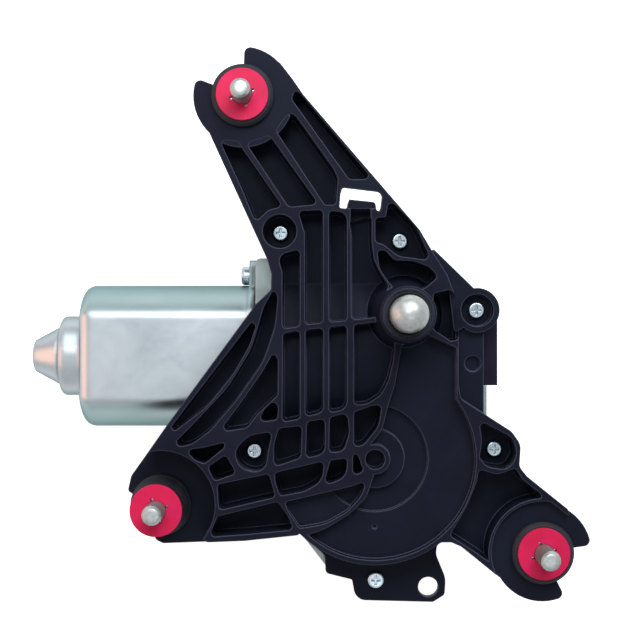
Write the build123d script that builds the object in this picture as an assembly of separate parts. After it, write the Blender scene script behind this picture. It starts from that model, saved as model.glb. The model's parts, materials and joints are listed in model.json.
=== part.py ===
from build123d import *
import os
from math import acos, asin, atan2, cos, degrees, pi, radians, sin, sqrt, tan

# Frame: millimetres, origin on the output shaft axis in the mouth plane of the shaft tube.
# X runs to the right along the motor, Y up, Z towards the wiper arm.

# Levels
RIM_Z = 0.0
SHAFT_TIP_Z = 14.0
STUD_TIP_Z = -2.4
RIB_TOP_Z = -24.0
LOW_PAD_Z = -26.5
DISH_Z = -29.0
RECESS_Z = -31.5
SIDE_BOSS_Z = -28.0
SIDE_PLATE_Z = -30.5
SIDE_SEAT_Z = -34.0
FLOOR_Z = -40.0
LUG_Z = -41.0
SKIN_UNDER_Z = -42.5
JOINT_Z = -45.0
TUBE_LOW_Z = JOINT_Z - 1.0
SEAL_THICK = 0.6
CASE_TOP_Z = JOINT_Z - SEAL_THICK
WORM_Z = -67.6
CASE_BACK_Z = -91.6
CASE_SKIN = 3.6

# Fits and general walls
RUNNING = 0.04
FREE = 0.3
SIDE_PLAY = 0.2
END_PLAY = 0.1
WALL = 3.5
SKIN = 3.0
OVER = 1.0
CORNER_R = 2.0
SMALL_CORNER_R = 1.0

# Gearing
MODULE = 1.25
DEDENDUM = 1.25 * MODULE
BACKLASH = 0.05
WHEEL_TEETH = 54
WORM_PITCH_R = 6.75
WHEEL_PITCH_R = MODULE * WHEEL_TEETH / 2
WORM_LEAD = MODULE * pi
WORM_TURNS = 6
THREAD_ROOT_HALF = 1.0
THREAD_CREST_HALF = 0.35
THREAD_SINK = 0.7
TOOTH_ROOT_HALF = 1.2
TOOTH_TIP_HALF = 0.45
TOOTH_SINK = 0.6
WORM_LEAD_ANGLE = degrees(atan2(WORM_LEAD, 2 * pi * WORM_PITCH_R))
WHEEL_X = -12.0
WHEEL_Y = -58.0
WORM_Y = WHEEL_Y + WHEEL_PITCH_R + WORM_PITCH_R
WHEEL_FACE = 10.0
WHEEL_TOP_Z = WORM_Z + WHEEL_FACE / 2
WHEEL_LOW_Z = WORM_Z - WHEEL_FACE / 2
WHEEL_WEB = 4.0
WHEEL_RIM = 3.0
WHEEL_RIBS = 6
WHEEL_RIB = 2.2
WHEEL_RIB_DROP = 1.0
HUB_WALL = 4.6
TRACK = 0.4
TRACK_R = (29.0, 14.0)
TRACK_GAP_HALF = 3.0

# Linkage: a centric crank and rocker, so the rod length follows from the other three
CRANK_R = 13.5
ROCKER_R = 18.0
GROUND = sqrt(WHEEL_X**2 + WHEEL_Y**2)
ROD_LENGTH = sqrt(CRANK_R**2 + GROUND**2 - ROCKER_R**2)
ROCKER_Z = -52.0
ROCKER_THICK = 4.0
ROD_Z = -58.0
ROD_THICK = 4.0
ROD_EYE_R = 6.5
ROD_WIDTH = 7.0
ROD_SLOT_ENDS = 26.0
ROD_SLOT_WIDTH = 2.6
PIN_R = 3.0
PIN_FLOOR = 1.4
PIN_HEAD_R = 4.4
PIN_HEAD = 1.0
PIN_SHOULDER_R = 5.0
CRANK_BOSS_R = 5.6
LOOP_GAP = 0.4
LINK_SPARE = 3.0
ROCKER_EYE_R = 9.5
ROCKER_TIP_R = 6.0
ROCKER_WAIST = 0.2
SPIGOT_R = 5.0

# Cover screws: x, y and the level that the head sits on
SCREW_R = 2.0
SCREW_HEAD_R = 3.4
SCREW_HEAD = 2.8
SCREW_LENGTH = 18.0
SCREW_EDGE_R = 0.9
SCREW_GAP = 0.2
CROSS_HALF = 1.9
CROSS_WIDTH = 0.9
CROSS_DEPTH = 1.6
COVER_SCREWS = [
    (-50.2, 33.3, FLOOR_Z),
    (-1.4, 30.0, FLOOR_Z),
    (29.3, 1.7, SIDE_SEAT_Z),
    (37.2, -55.0, FLOOR_Z),
    (-11.2, -108.8, LUG_Z),
    (-60.9, -55.8, FLOOR_Z),
]

# Rubber mounts: x, y, the level of the fork plate that each one grips and that of its disc
FORK_PLATE = 5.0
GROMMET_FLANGE_R = 12.4
GROMMET_FLANGE = 4.0
GROMMET_NECK_R = 8.4
GROMMET_EDGE = 1.2
SLEEVE_R = 5.2
SLEEVE_SINK = 0.5
SLEEVE_BORE_R = 4.1
STUD_R = 4.0
STUD_HEAD_R = 9.0
STUD_HEAD = 3.0
GROOVE = 1.0
GROOVE_DEPTH = 0.3
STUD_CHAMFER = 1.6
STUD_TIP_R = (3.2, 1.8)
STUD_TIP_RISE = 0.5
DISC_R = 10.4
DISC_THICK = 1.6
DISC_FIT = 0.06
DISC_NOTCHES = 4
DISC_NOTCH_TURN = 20
DISC_NOTCH = (2.4, 1.0)
DISC_LOW_Z = RIB_TOP_Z + GROMMET_FLANGE
COLLAR_R = 9.4
COLLAR_FOOT_R = 11.6
COLLAR_TAPER = 4.0
COLLAR_EDGE = 0.8
TOP_MOUNT = (-65.0, 87.4, RIB_TOP_Z, DISC_LOW_Z)
LEFT_MOUNT = (-99.2, -77.9, FLOOR_Z, DISC_LOW_Z)
RIGHT_MOUNT = (55.2, -95.5, LOW_PAD_Z, LOW_PAD_Z + GROMMET_FLANGE)
MOUNTS = [TOP_MOUNT, LEFT_MOUNT, RIGHT_MOUNT]

# Output shaft and its tube
TUBE_R = 10.9
TUBE_BORE_R = 9.2
TUBE_FOOT_R = 16.0
TUBE_FOOT_Z = -20.0
TUBE_CHAMFER = 1.0
SHAFT_R = 6.0
SHAFT_HEAD_R = 7.3
SHAFT_STEP_Z = -6.0
DOME_Z = 9.0
BUSH_LENGTH = 12.0
BUSH_GAP = 2.0
WASHER_R = 9.8
SEAL_SEAT = 0.4
SEAL_SINK = 0.6
SEAL_LIP = 0.9

# Motor can: two flats on a round body
CAN_R = 30.0
CAN_FLAT = 24.0
CAN_SHEET = 1.8
CAN_LEFT_X = -134.4
CAN_FLANGE_X = -61.6
CAN_FLANGE = 2.5
CAN_SHOULDER = 5.0
CAN_CORNER = 4.0
CAN_BOSS_R = 16.9
CAN_BOSS = 9.9
CAN_BOSS_EDGE_R = 2.5
CAN_END_BORE_R = 6.5
MOTOR_SCREW_R = 2.5
MOTOR_SCREW_HEAD_R = 4.0
MOTOR_SCREW_HEAD = 3.6
MOTOR_SCREW_EDGE_R = 1.4
MOTOR_SCREW_LENGTH = 12.0
MOTOR_CROSS_HALF = 2.4
MOTOR_CROSS_WIDTH = 1.0
FLANGE_EAR_Y = CAN_R + MOTOR_SCREW_HEAD_R + SCREW_GAP
FLANGE_EAR_R = 6.6
FLANGE_LIP = 1.2
FLANGE_FOOT_HALF = 14.0
FLANGE_TIP_HALF = 6.2
FLANGE_TIP_RISE = 2.0
FLANGE_GAP = 0.4
GASKET = 0.8
CASE_FACE_X = CAN_FLANGE_X + GASKET
CAP_R = 12.9
CAP_TIP_R = 7.7
CAP_LENGTH = 12.0
CAP_NECK = 9.6
CAP_WALL = 1.2
CAP_EDGE_R = 6.8
CAP_EDGE = 0.7
CAP_FACE_R = 5.4
MOTOR_SHAFT_R = 4.0
ARMATURE_R = 20.5
AIR_GAP = 0.7
CORE_LEFT_X = -117.0
CORE_RIGHT_X = -79.0
MAGNET_OVERHANG = 2.0
MAGNET_HALF = 20.6
SLOTS = 10
SLOT_R = 3.4
SLOT_PITCH_R = 15.4
SLOT_MOUTH_R = 19.5
SLOT_MOUTH = (4.0, 1.6)
BAR_GAP = 0.1
BUNDLE_R = 18.8
BUNDLE_BORE_R = 6.0
BUNDLE_LEFT = 7.0
BUNDLE_RIGHT = 8.0
COMMUTATOR_R = 11.0
COMMUTATOR_X = -58.0
COMMUTATOR_LENGTH = 12.0
COMMUTATOR_HUB_R = 7.0
COMMUTATOR_HUB = 5.0
SEGMENT_GAP = 0.8
SEGMENT_DEPTH = 0.6
WORM_HALF = 13.0
WORM_RUNOUT = 2.0
MOUTH_INSET = 4.0
PAD_THRUST_R = 4.6
SHAFT_LEFT_X = -152.0
REAR_BEARING_R = 7.6
REAR_BEARING_LENGTH = 9.0
RETAINER_PLACE = 3.0
RETAINER = 1.4
CARD_X = CASE_FACE_X + WALL
CARD = 2.0
CARD_GAP = 0.1
CARD_HALF = 11.0
CARD_R = 18.3
BRUSH_X = (-54.6, -48.2)
BRUSH_Y = 14.5
BRUSH_REACH = 4.5
BRUSH_HALF = 3.5
BRUSH_GAP = 0.2
BRUSH_BED = 0.05
BOX_Y = 17.1
BOX_REACH = 4.9
BOX_HALF = 5.0
BOX_WALL = 1.2
BOX_SLOT_Y = 18.0
BOX_SLOT_REACH = 8.0
SPRING_Y = 21.0
SPRING_R = 2.2
SPRING_PITCH = 1.1
SPRING_LENGTH = 3.3
SPRING_WIRE_R = 0.3

# Gear case
DRUM_GAP = 2.5
DRUM_IN_R = WHEEL_PITCH_R + MODULE + DRUM_GAP
DRUM_R = DRUM_IN_R + WALL
DRUM_LIP = 1.4
DRUM_OUT_R = DRUM_R + DRUM_LIP
FLANGE_LOW_Z = -51.0
LINK_LOW_Z = -60.2
TUNNEL_HALF = 12.5
TUNNEL_IN_R = 9.2
TUNNEL_LOW_Z = WORM_Z - 13.0
CASE_IN_Z = CASE_BACK_Z + CASE_SKIN
MID_BEARING_R = 6.5
MID_WALL_X = (-45.5, -37.0)
END_BEARING_R = 6.0
END_WALL_X = (8.0, 20.0)
BEARING_LENGTH = 8.0
THRUST_STAND = 2.5
THRUST_SLOT_DEPTH = 1.4
THRUST_SLOT_REACH = 3.2
THRUST_SLOT_HALF = 0.6
CHAMBER_IN = CAN_FLAT - 0.5
CHAMBER_OUT = CHAMBER_IN + WALL
CHAMBER_RIGHT_X = -36.0
BOSS_R = 6.0
BOSS_DEPTH = 16.0
SCREW_HOLE_DEPTH = 14.5
EAR_LENGTH = 10.0
LINK_WALL = 2.2
DRUM_WALL = 2.0
SEAL_WIDTH = 2.4
SEAL_EYE_R = 5.0
BAY_LEFT_X = 0.0
BAY_RIGHT_X = 35.0
BAY_Y = (-45.0, 0.0)
AXLE_R = 4.0
AXLE_TOP_Z = -60.9
AXLE_BOSS_R = 9.0
AXLE_BOSS_Z = -78.0
CLIP_Z = (AXLE_TOP_Z - 1.6, AXLE_TOP_Z - 0.8)
CLIP_BED_R = AXLE_R - 0.6
CLIP_R = AXLE_R + 2.4
CLIP_MOUTH_HALF = 2.2
BOARD_Z = -84.0
BOARD_THICK = 1.6
BOARD_GAP = 0.5
BOARD_X = (-20.0, 40.0)
BOARD_Y = (-97.0, -23.0)
BOARD_TONGUE_Y = (-39.5, -5.5)
BOARD_POST_R = 2.5
BOARD_POST_REACH = 30.0
BOARD_POST_ANGLES = (25, 265, 325)
STRIP = 0.4
STRIP_HALF = 1.2
STRIP_X = 4.0
STRIP_FOOT = 3.0
STRIP_BEND = 2.0
STRIP_ROOT = 0.8
STRIP_CONTACT = -7.0
STRIP_END = -9.0
STRIP_RADII = (17.0, 21.5, 26.0)

# Connector
CONNECTOR_X = (25.0, 39.4)
CONNECTOR_Y = (-29.3, -1.3)
CONNECTOR_Z = (-77.0, -51.5)
CONNECTOR_WALL = 1.6
CONNECTOR_BACK = 5.0
HOOD_X = 32.6
TERMINAL_YS = [-23.4, -18.0, -12.6, -7.2]
TERMINAL_Z = -64.0
TERMINAL_X = 23.6
TERMINAL_TIP_X = 37.0
TERMINAL_HALF = 1.2
TERMINAL_THICK = 0.8

# Bracket outline at the rib tops, each corner with its own radius where it isn't the usual one
OUTLINE = [
    (-82.6, 81.8), (-55.1, 21.8), (-53.5, 16.2), (-53.7, 9.8), (-59.7, 4.2), (-95.6, -44.7),
    (-103.5, -56.0), (-98.0, -76.0), (-79.3, -91.2), (-64.1, -90.6), (-43.1, -88.4),
    (-30.0, -80.0), (8.0, -84.0), (13.2, -91.2, 1.0), (18.5, -91.2, 2.0), (22.4, -92.9, 5.0),
    (42.0, -108.8), (67.0, -79.4, 3.0), (48.9, -64.9, 6.0), (45.7, -61.0, 4.0), (46.3, -52.0, 6.0),
    (42.6, -46.8, 5.0), (22.3, -33.8), (21.4, -28.0, 5.0), (21.4, 3.8, 9.0), (16.9, 15.8),
    (10.0, 26.8), (5.9, 33.8), (-40.6, 87.8), (-45.1, 94.3), (-50.1, 100.8, 5.0), (-56.0, 104.6, 5.0),
    (-66.0, 90.0),
]
# Hollows between the ribs, by zone; the rib is what stays between two of them
ARM_HOLLOWS = [
    [(-73.6, 69.5), (-67.3, 68.8), (-49.7, 43.4), (-55.0, 42.2, 6.0), (-59.7, 37.6), (-64.6, 49.8)],
    [(-62.9, 68.2), (-54.3, 71.0), (-35.3, 44.4), (-46.5, 43.4, 2.5)],
    [(-51.1, 73.4), (-48.6, 77.2), (-45.7, 80.2), (-43.7, 78.6), (-29.1, 58.2), (-27.3, 54.4, 4.0),
     (-28.1, 44.2), (-31.9, 44.2)],
    [(-44.9, 86.2), (-43.9, 89.2), (-42.1, 88.0), (-13.9, 54.6), (-22.1, 54.4, 2.0)],
]
BAY_HOLLOWS = [
    [(-50.6, 23.4, 3.0), (-42.5, 25.6), (-42.5, -4.4), (-48.7, -5.4), (-48.7, 17.0)],
    [(-42.3, 41.0), (-33.3, 41.4), (-33.3, -2.9), (-39.7, -3.7), (-39.7, 32.6, 6.0)],
    [(-30.1, 41.0), (-23.7, 40.6, 6.4), (-23.7, -2.0), (-30.1, -2.7)],
    [(-21.9, 37.5), (-13.8, 39.6), (-13.8, 29.0), (-12.9, 21.8, 8.0), (-10.5, 16.8), (-7.1, 11.4),
     (-9.3, 5.8), (-10.1, -0.6), (-21.1, -1.7), (-21.1, 32.0, 6.0)],
    [(-20.1, -4.4), (-8.9, -3.2), (-8.5, -7.0, 4.0), (-4.5, -11.4), (-5.1, -18.2, 9.0),
     (-7.1, -26.2, 9.0), (-9.9, -31.8, 6.0), (-15.1, -35.3, 6.0), (-20.1, -35.8)],
    [(-48.5, -7.9), (-42.5, -6.8), (-42.5, -41.4), (-48.7, -42.6)],
    [(-39.5, -6.5), (-33.1, -5.9), (-33.1, -38.8, 3.0), (-39.5, -40.4)],
    [(-30.1, -5.4), (-23.7, -4.7), (-23.7, -37.6, 4.0), (-30.1, -38.8)],
]
TUBE_HOLLOWS = [
    [(-6.5, 43.8), (-4.8, 44.0), (4.0, 35.2, 9.0), (9.8, 22.0, 1.5), (2.4, 23.1, 9.0), (-2.4, 23.6, 7.0),
     (-8.2, 28.2, 6.0), (-11.5, 29.4), (-11.6, 38.2), (-7.4, 38.6)],
    [(-10.7, 25.2), (-8.2, 25.2, 1.5), (-4.4, 21.2, 4.0), (3.4, 21.0, 9.0), (9.6, 18.6, 6.0), (12.6, 15.0),
     (7.3, 10.6), (-4.3, 10.6), (-9.9, 18.4, 8.0)],
    [(11.7, 8.0), (18.3, 9.6, 2.0), (20.9, 5.4, 2.5), (20.9, -9.8), (18.3, -10.2), (11.7, -5.8)],
]
WEB_HOLLOWS = [
    [(-61.3, -3.4), (-60.2, -4.8), (-62.6, -12.2, 12.0), (-69.1, -23.7, 30.0), (-79.1, -36.2, 30.0),
     (-92.2, -46.2), (-93.2, -45.2)],
    [(-52.5, 9.4), (-51.4, 7.0, 9.0), (-52.3, -4.2, 25.0), (-57.1, -18.8, 30.0), (-68.1, -34.4, 40.0),
     (-78.5, -46.4, 15.0), (-86.0, -51.8, 9.0), (-93.0, -52.8), (-84.1, -43.8, 30.0),
     (-70.6, -29.6, 40.0), (-61.1, -13.8, 25.0), (-56.2, 2.8, 9.0)],
    [(-52.6, -15.8), (-51.3, -18.4), (-51.3, -32.0, 3.0), (-59.4, -39.6, 15.0), (-63.6, -45.0, 3.0),
     (-73.6, -46.6), (-66.1, -36.6, 30.0), (-57.1, -23.8, 20.0)],
    [(-52.7, -35.2), (-51.2, -37.0), (-51.5, -41.7), (-58.3, -42.7), (-55.9, -38.2, 6.0)],
    [(-87.3, -54.6), (-80.1, -53.6), (-72.4, -51.7), (-73.1, -53.4), (-80.4, -59.3), (-83.9, -57.9)],
]
LATTICE_HOLLOWS = [
    [(-53.8, -47.4), (-62.1, -48.8, 7.0), (-68.3, -54.6, 7.0), (-65.6, -61.6, 7.0), (-56.6, -63.2, 7.0)],
    [(-50.2, -45.9), (-41.7, -45.0), (-42.1, -57.0, 2.0), (-52.0, -60.4), (-52.1, -52.2, 9.0)],
    [(-38.9, -43.3, 1.5), (-32.5, -42.3), (-32.5, -55.4, 3.5), (-39.3, -57.0)],
    [(-29.8, -41.6), (-23.5, -39.8, 2.0), (-22.7, -47.2, 9.0), (-25.0, -54.4, 3.0), (-30.0, -54.8)],
    [(-20.1, -39.4), (-13.1, -36.9, 6.0), (-9.8, -36.6), (-11.0, -44.6, 9.0), (-17.0, -52.0, 5.0),
     (-20.1, -52.4)],
    [(-71.9, -56.7), (-68.2, -63.4), (-76.1, -66.2), (-78.4, -61.2)],
    [(-74.7, -68.4), (-54.8, -64.3), (-52.4, -72.8), (-74.1, -77.9)],
    [(-51.8, -63.7), (-32.9, -59.2), (-33.6, -66.6, 7.0), (-40.6, -70.4, 9.0), (-49.8, -72.2),
     (-51.5, -67.2, 9.0)],
    [(-29.6, -58.8), (-23.5, -57.9), (-24.1, -65.0, 6.0), (-32.0, -67.8)],
    [(-20.5, -56.4), (-19.3, -56.4), (-17.0, -62.4), (-20.5, -64.2)],
    [(-74.8, -81.2), (-51.1, -75.4), (-47.4, -80.6, 9.0), (-45.1, -85.8), (-64.1, -87.6, 9.0),
     (-77.9, -88.6)],
]
DISH_HOLLOW = [
    (-39.4, -88.4), (-32.1, -86.0, 20.0), (-22.1, -79.8, 15.0), (-15.4, -73.2, 12.0), (-12.6, -64.6),
    (-12.0, -58.0), (-13.8, -52.0), (-9.2, -46.2, 12.0), (-6.7, -36.2), (-4.1, -28.2, 20.0),
    (-1.4, -12.6), (8.0, -7.4), (20.7, -13.4), (20.7, -34.2), (34.0, -46.0), (34.0, -104.0),
    (-39.4, -104.0),
]
FAN_HOLLOW = [
    (-48.3, -75.1), (-22.1, -69.0, 30.0), (-15.6, -66.7), (-17.4, -72.4, 12.0), (-23.1, -78.9, 12.0),
    (-32.1, -83.9, 15.0), (-42.3, -85.6), (-46.4, -79.4, 9.0),
]
RIGHT_ARM_HOLLOWS = [
    [(30.1, -43.0), (43.0, -49.8, 5.0), (44.4, -56.0, 6.0), (41.4, -61.8, 6.0), (33.0, -60.8, 6.0),
     (30.2, -57.2), (31.2, -50.2, 6.0)],
    [(29.8, -62.4), (36.9, -64.6, 6.0), (44.1, -62.0), (46.5, -66.2, 4.0), (55.3, -73.2), (47.4, -75.9, 9.0),
     (39.0, -82.6, 9.0), (35.4, -92.2, 9.0), (34.9, -99.4), (27.9, -94.4), (18.4, -88.4),
     (25.2, -76.6, 30.0), (29.0, -67.2, 9.0)],
]
SNAP_SLOT = [
    (-26.3, 42.6), (-25.6, 50.9, 1.5), (-9.0, 48.9, 2.5), (-9.9, 41.2), (-11.4, 41.6), (-12.0, 45.2, 1.2),
    (-22.7, 46.3), (-23.4, 42.3),
]
SNAP_CORNER_R = 0.8
SNAP_TOP_Z = RIB_TOP_Z - SKIN
SNAP_RELIEF = (0.5, 1.5)
SNAP_TONGUE = (-22.9, -11.9, 42.4, 47.0)
SNAP_POCKET = (-21.9, -13.8, 37.0, 42.4)
SNAP_POCKET_DEPTH = 12.0
GUSSET = [(8.4, 29.6), (27.6, 10.9), (37.0, 2.0), (20.0, -7.5), (18.0, 9.0)]
LUG = [
    (-42.0, -90.4), (-32.0, -99.0, 4.0), (-31.8, -106.3, 2.0), (-20.9, -109.0, 1.0), (-19.4, -117.4, 11.0),
    (12.4, -118.2), (17.2, -115.2), (17.6, -108.4, 9.0), (13.6, -98.6, 5.0), (14.2, -93.7, 4.0),
    (22.0, -93.7, 1.0), (20.0, -88.0), (-12.0, -70.0),
]
LOW_PLATE = [
    (-101.4, -51.8), (-111.6, -66.2, 4.0), (-113.0, -72.4, 1.5), (-110.0, -74.4), (-104.0, -80.0),
    (-101.6, -92.4, 2.0), (-98.4, -93.9, 2.0), (-64.0, -92.6), (-52.0, -89.2), (-60.0, -60.0),
    (-80.0, -45.0),
]
RIGHT_ARM_EDGE = [(48.9, -64.9), (67.0, -79.4), (65.8, -80.9), (47.7, -66.4)]
CASE_OUTLINE = [
    (CASE_FACE_X, 23.3), (-55.0, 23.3, 0.6), (-55.0, 39.6, 6.0), (2.0, 36.6, 6.0), (9.2, 26.4), (27.0, 10.6),
    (BAY_RIGHT_X, 4.0), (BAY_RIGHT_X, -43.5), (43.8, -50.0, 5.0), (43.8, -61.0, 5.0), (27.0, -70.0),
    (11.0, -91.5), (-2.0, -100.0), (-4.0, -115.8, 6.0), (-18.6, -115.8, 6.0), (-18.6, -108.6),
    (-30.4, -105.6), (-67.6, -57.6, 5.0), (-64.6, -49.6, 4.0), (CASE_FACE_X, -49.6),
]


def corner(before, at, after, radius):
    """Start, middle and end of the arc that rounds one corner, within half of either side."""
    back = (before - at).normalized()
    ahead = (after - at).normalized()
    half = acos(max(-1.0, min(1.0, back.dot(ahead)))) / 2
    if half > radians(88):
        return at, None, at
    reach = min(radius / tan(half), 0.48 * (before - at).length, 0.48 * (after - at).length)
    radius = reach * tan(half)
    middle = at + (back + ahead).normalized() * (radius / sin(half) - radius)
    return at + back * reach, middle, at + ahead * reach


def rounded_face(points, radius):
    """Face inside a polygon with rounded corners; a point may carry its own radius."""
    corners = []
    for i, point in enumerate(points):
        before = Vector(*points[i - 1][:2])
        after = Vector(*points[(i + 1) % len(points)][:2])
        own = point[2] if len(point) > 2 else radius
        corners.append(corner(before, Vector(*point[:2]), after, own))
    edges = []
    for i, (start, middle, end) in enumerate(corners):
        if middle is not None:
            edges.append(ThreePointArc(start, middle, end))
        edges.append(Line(end, corners[(i + 1) % len(corners)][0]))
    return make_face(edges)


def prism(face, low, high):
    """Upright block with the given face as its plan."""
    return extrude(Pos(0, 0, low) * face, high - low)


def post(x, y, low, high, radius):
    """Upright cylinder."""
    return Pos(x, y, (low + high) / 2) * Cylinder(radius, high - low)


def ring(x, y, low, high, outer, inner):
    """Upright tube."""
    return post(x, y, low, high, outer) - post(x, y, low - OVER, high + OVER, inner)


def block(x0, x1, y0, y1, z0, z1):
    """Box between two corners."""
    return Pos((x0 + x1) / 2, (y0 + y1) / 2, (z0 + z1) / 2) * Box(x1 - x0, y1 - y0, z1 - z0)


def patch(x0, x1, y0, y1):
    """Rectangular plan between two corners."""
    return Pos((x0 + x1) / 2, (y0 + y1) / 2) * Rectangle(x1 - x0, y1 - y0)


def bar(x0, x1, y, z, radius):
    """Cylinder along X."""
    return Pos((x0 + x1) / 2, y, z) * Rot(0, 90, 0) * Cylinder(radius, x1 - x0)


def along_x(face, x0, x1):
    """Block along X with a plan drawn in Y and Z about the motor axis."""
    return extrude(Plane(origin=(x0, WORM_Y, WORM_Z), x_dir=(0, 1, 0), z_dir=(1, 0, 0)) * face, x1 - x0)


def turned(profile, x, y):
    """Solid of revolution about the upright line at x, y from a radius and height outline."""
    face = make_face(Polyline(*[(r, z) for r, z in profile], close=True))
    return Pos(x, y, 0) * revolve(Plane.XZ * face, Axis.Z)


def turned_x(profile):
    """Solid of revolution about the motor axis from an x and radius outline."""
    face = make_face(Polyline(*profile, close=True))
    return Pos(0, WORM_Y, WORM_Z) * revolve(face, Axis.X)


def case_face():
    """Plan of the gear case flange with the wheel drum's round side."""
    drum = Pos(WHEEL_X, WHEEL_Y) * Circle(DRUM_R)
    return rounded_face(CASE_OUTLINE, CORNER_R) + drum


def joint_face():
    """Part of the case plan that the bracket covers."""
    cover = rounded_face(OUTLINE, CORNER_R) + Pos(WHEEL_X, WHEEL_Y) * Circle(DRUM_OUT_R)
    cover += rounded_face(LUG, CORNER_R)
    cover += patch(0.0, SIDE_X[1], WHEEL_Y, 2 * SIDE_BOSS_R)
    x, y, _ = COVER_SCREWS[2]
    cover += Pos(x, y) * Circle(SIDE_BOSS_R)
    return case_face() & cover


def link_face(gap):
    """Plan of the space that the rocker and the rod sweep, grown by a gap."""
    wide = ROCKER_R + ROD_EYE_R + gap
    drum = CRANK_R + ROD_EYE_R + LINK_SPARE + gap
    sweep = Circle(wide) + Pos(WHEEL_X, WHEEL_Y) * Circle(drum)
    dx, dy = WHEEL_X / GROUND, WHEEL_Y / GROUND
    sides = [
        (wide * dy, -wide * dx), (WHEEL_X + drum * dy, WHEEL_Y - drum * dx),
        (WHEEL_X - drum * dy, WHEEL_Y + drum * dx), (-wide * dy, wide * dx),
    ]
    return sweep + make_face(Polyline(*sides, close=True))


# Linkage pose at rest: the rocker stands in the middle of its swing
SWING_NEAR = acos((GROUND**2 + ROCKER_R**2 - (ROD_LENGTH - CRANK_R) ** 2) / (2 * GROUND * ROCKER_R))
SWING_FAR = acos((GROUND**2 + ROCKER_R**2 - (ROD_LENGTH + CRANK_R) ** 2) / (2 * GROUND * ROCKER_R))
ROCKER_ANGLE = atan2(WHEEL_Y, WHEEL_X) + (SWING_NEAR + SWING_FAR) / 2
ROCKER_PIN_X = ROCKER_R * cos(ROCKER_ANGLE)
ROCKER_PIN_Y = ROCKER_R * sin(ROCKER_ANGLE)
REACH = sqrt((ROCKER_PIN_X - WHEEL_X) ** 2 + (ROCKER_PIN_Y - WHEEL_Y) ** 2)
CRANK_LEAN = acos((REACH**2 + CRANK_R**2 - ROD_LENGTH**2) / (2 * REACH * CRANK_R))
CRANK_ANGLE = atan2(ROCKER_PIN_Y - WHEEL_Y, ROCKER_PIN_X - WHEEL_X) - CRANK_LEAN
CRANK_X = WHEEL_X + CRANK_R * cos(CRANK_ANGLE)
CRANK_Y = WHEEL_Y + CRANK_R * sin(CRANK_ANGLE)
ROD_ANGLE = degrees(atan2(CRANK_Y - ROCKER_PIN_Y, CRANK_X - ROCKER_PIN_X))

# Bracket details
FORK_R = 19.8
EAR_TIP_R = 2.5
TOP_MOUTH = (88, 159)
LEFT_MOUTH = (163, 253)
RIGHT_MOUTH = (-63, 8)
ARM_ENDS = [(-56.0, -36.0, 91.0, 101.0), (60.0, 68.0, -82.0, -70.0)]
PAD_R = 20.7
RIM = 2.0
HIGH = RIB_TOP_Z + OVER
DISH_R = DRUM_OUT_R - RIM
DISH_STEP_R = 21.5
DISH_BOSS_R = 12.0
DISH_MARK = (-12.1, -85.6)
DISH_MARK_R = 0.9
DISH_MARK_DEPTH = 1.0
DISH_BOSS_RISE = 0.6
DISH_FIELD_X = -15.0
DISH_RING_R = 6.0
DISH_BORE_R = 3.9
SCREW_WELL_R = 6.8
SCREW_BOSS_R = 6.2
SIDE_WELL_R = 6.5
SIDE_BOSS_R = 9.0
SIDE_X = (20.6, 32.1)
SIDE_Y = (-40.0, -6.0)
SIDE_HOLLOW = (22.0, 30.0, -30.0, -9.0)
RIGHT_RIM_R = PAD_R + 1.2
DRAFT = 1.5
POCKET_R = 1.2
LEFT_PAD_X = -97.8
LEFT_PAD_Y = -76.3
LUG_HOLE = (10.4, -112.0)
LUG_HOLE_R = 4.1
KEY_HOLE = (27.7, -19.9)
KEY_HOLE_R = 3.2
KEY_HOLE_DEPTH = 2.0
BAY_BULGE = 7.0
BAY_BULGE_X = (-60.0, 0.0)
BAY_HALF = 30.0
BAY_R = (BAY_HALF**2 + BAY_BULGE**2) / (2 * BAY_BULGE)


def pocket(points, low):
    """Open hollow between ribs, a little wider at its mouth than at its floor."""
    return extrude(Pos(0, 0, low) * rounded_face(points, POCKET_R), HIGH - low, taper=-DRAFT)


def sector(radius, start, end):
    """Slice of a disc between two angles."""
    reach = 2 * radius
    angles = [radians(start + (end - start) * i / 3) for i in range(4)]
    wedge = make_face(Polyline((0, 0), *[(reach * cos(a), reach * sin(a)) for a in angles], close=True))
    return wedge & Circle(radius)


def fork_mouth(start, end):
    """Plan cleared in front of a grommet's neck, which leaves the fork two ears with round tips."""
    plan = Circle(FORK_R) - sector(2 * FORK_R, start, end)
    for angle in (radians(start), radians(end)):
        tip = plan.vertices().sort_by_distance((FORK_R * cos(angle), FORK_R * sin(angle)))[0]
        plan = fillet(tip, EAR_TIP_R)
    ears = 2 * degrees(EAR_TIP_R / FORK_R)
    reach = FORK_R + GROMMET_FLANGE
    return sector(reach, start - ears, end + ears) - plan + Circle(GROMMET_NECK_R)


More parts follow.
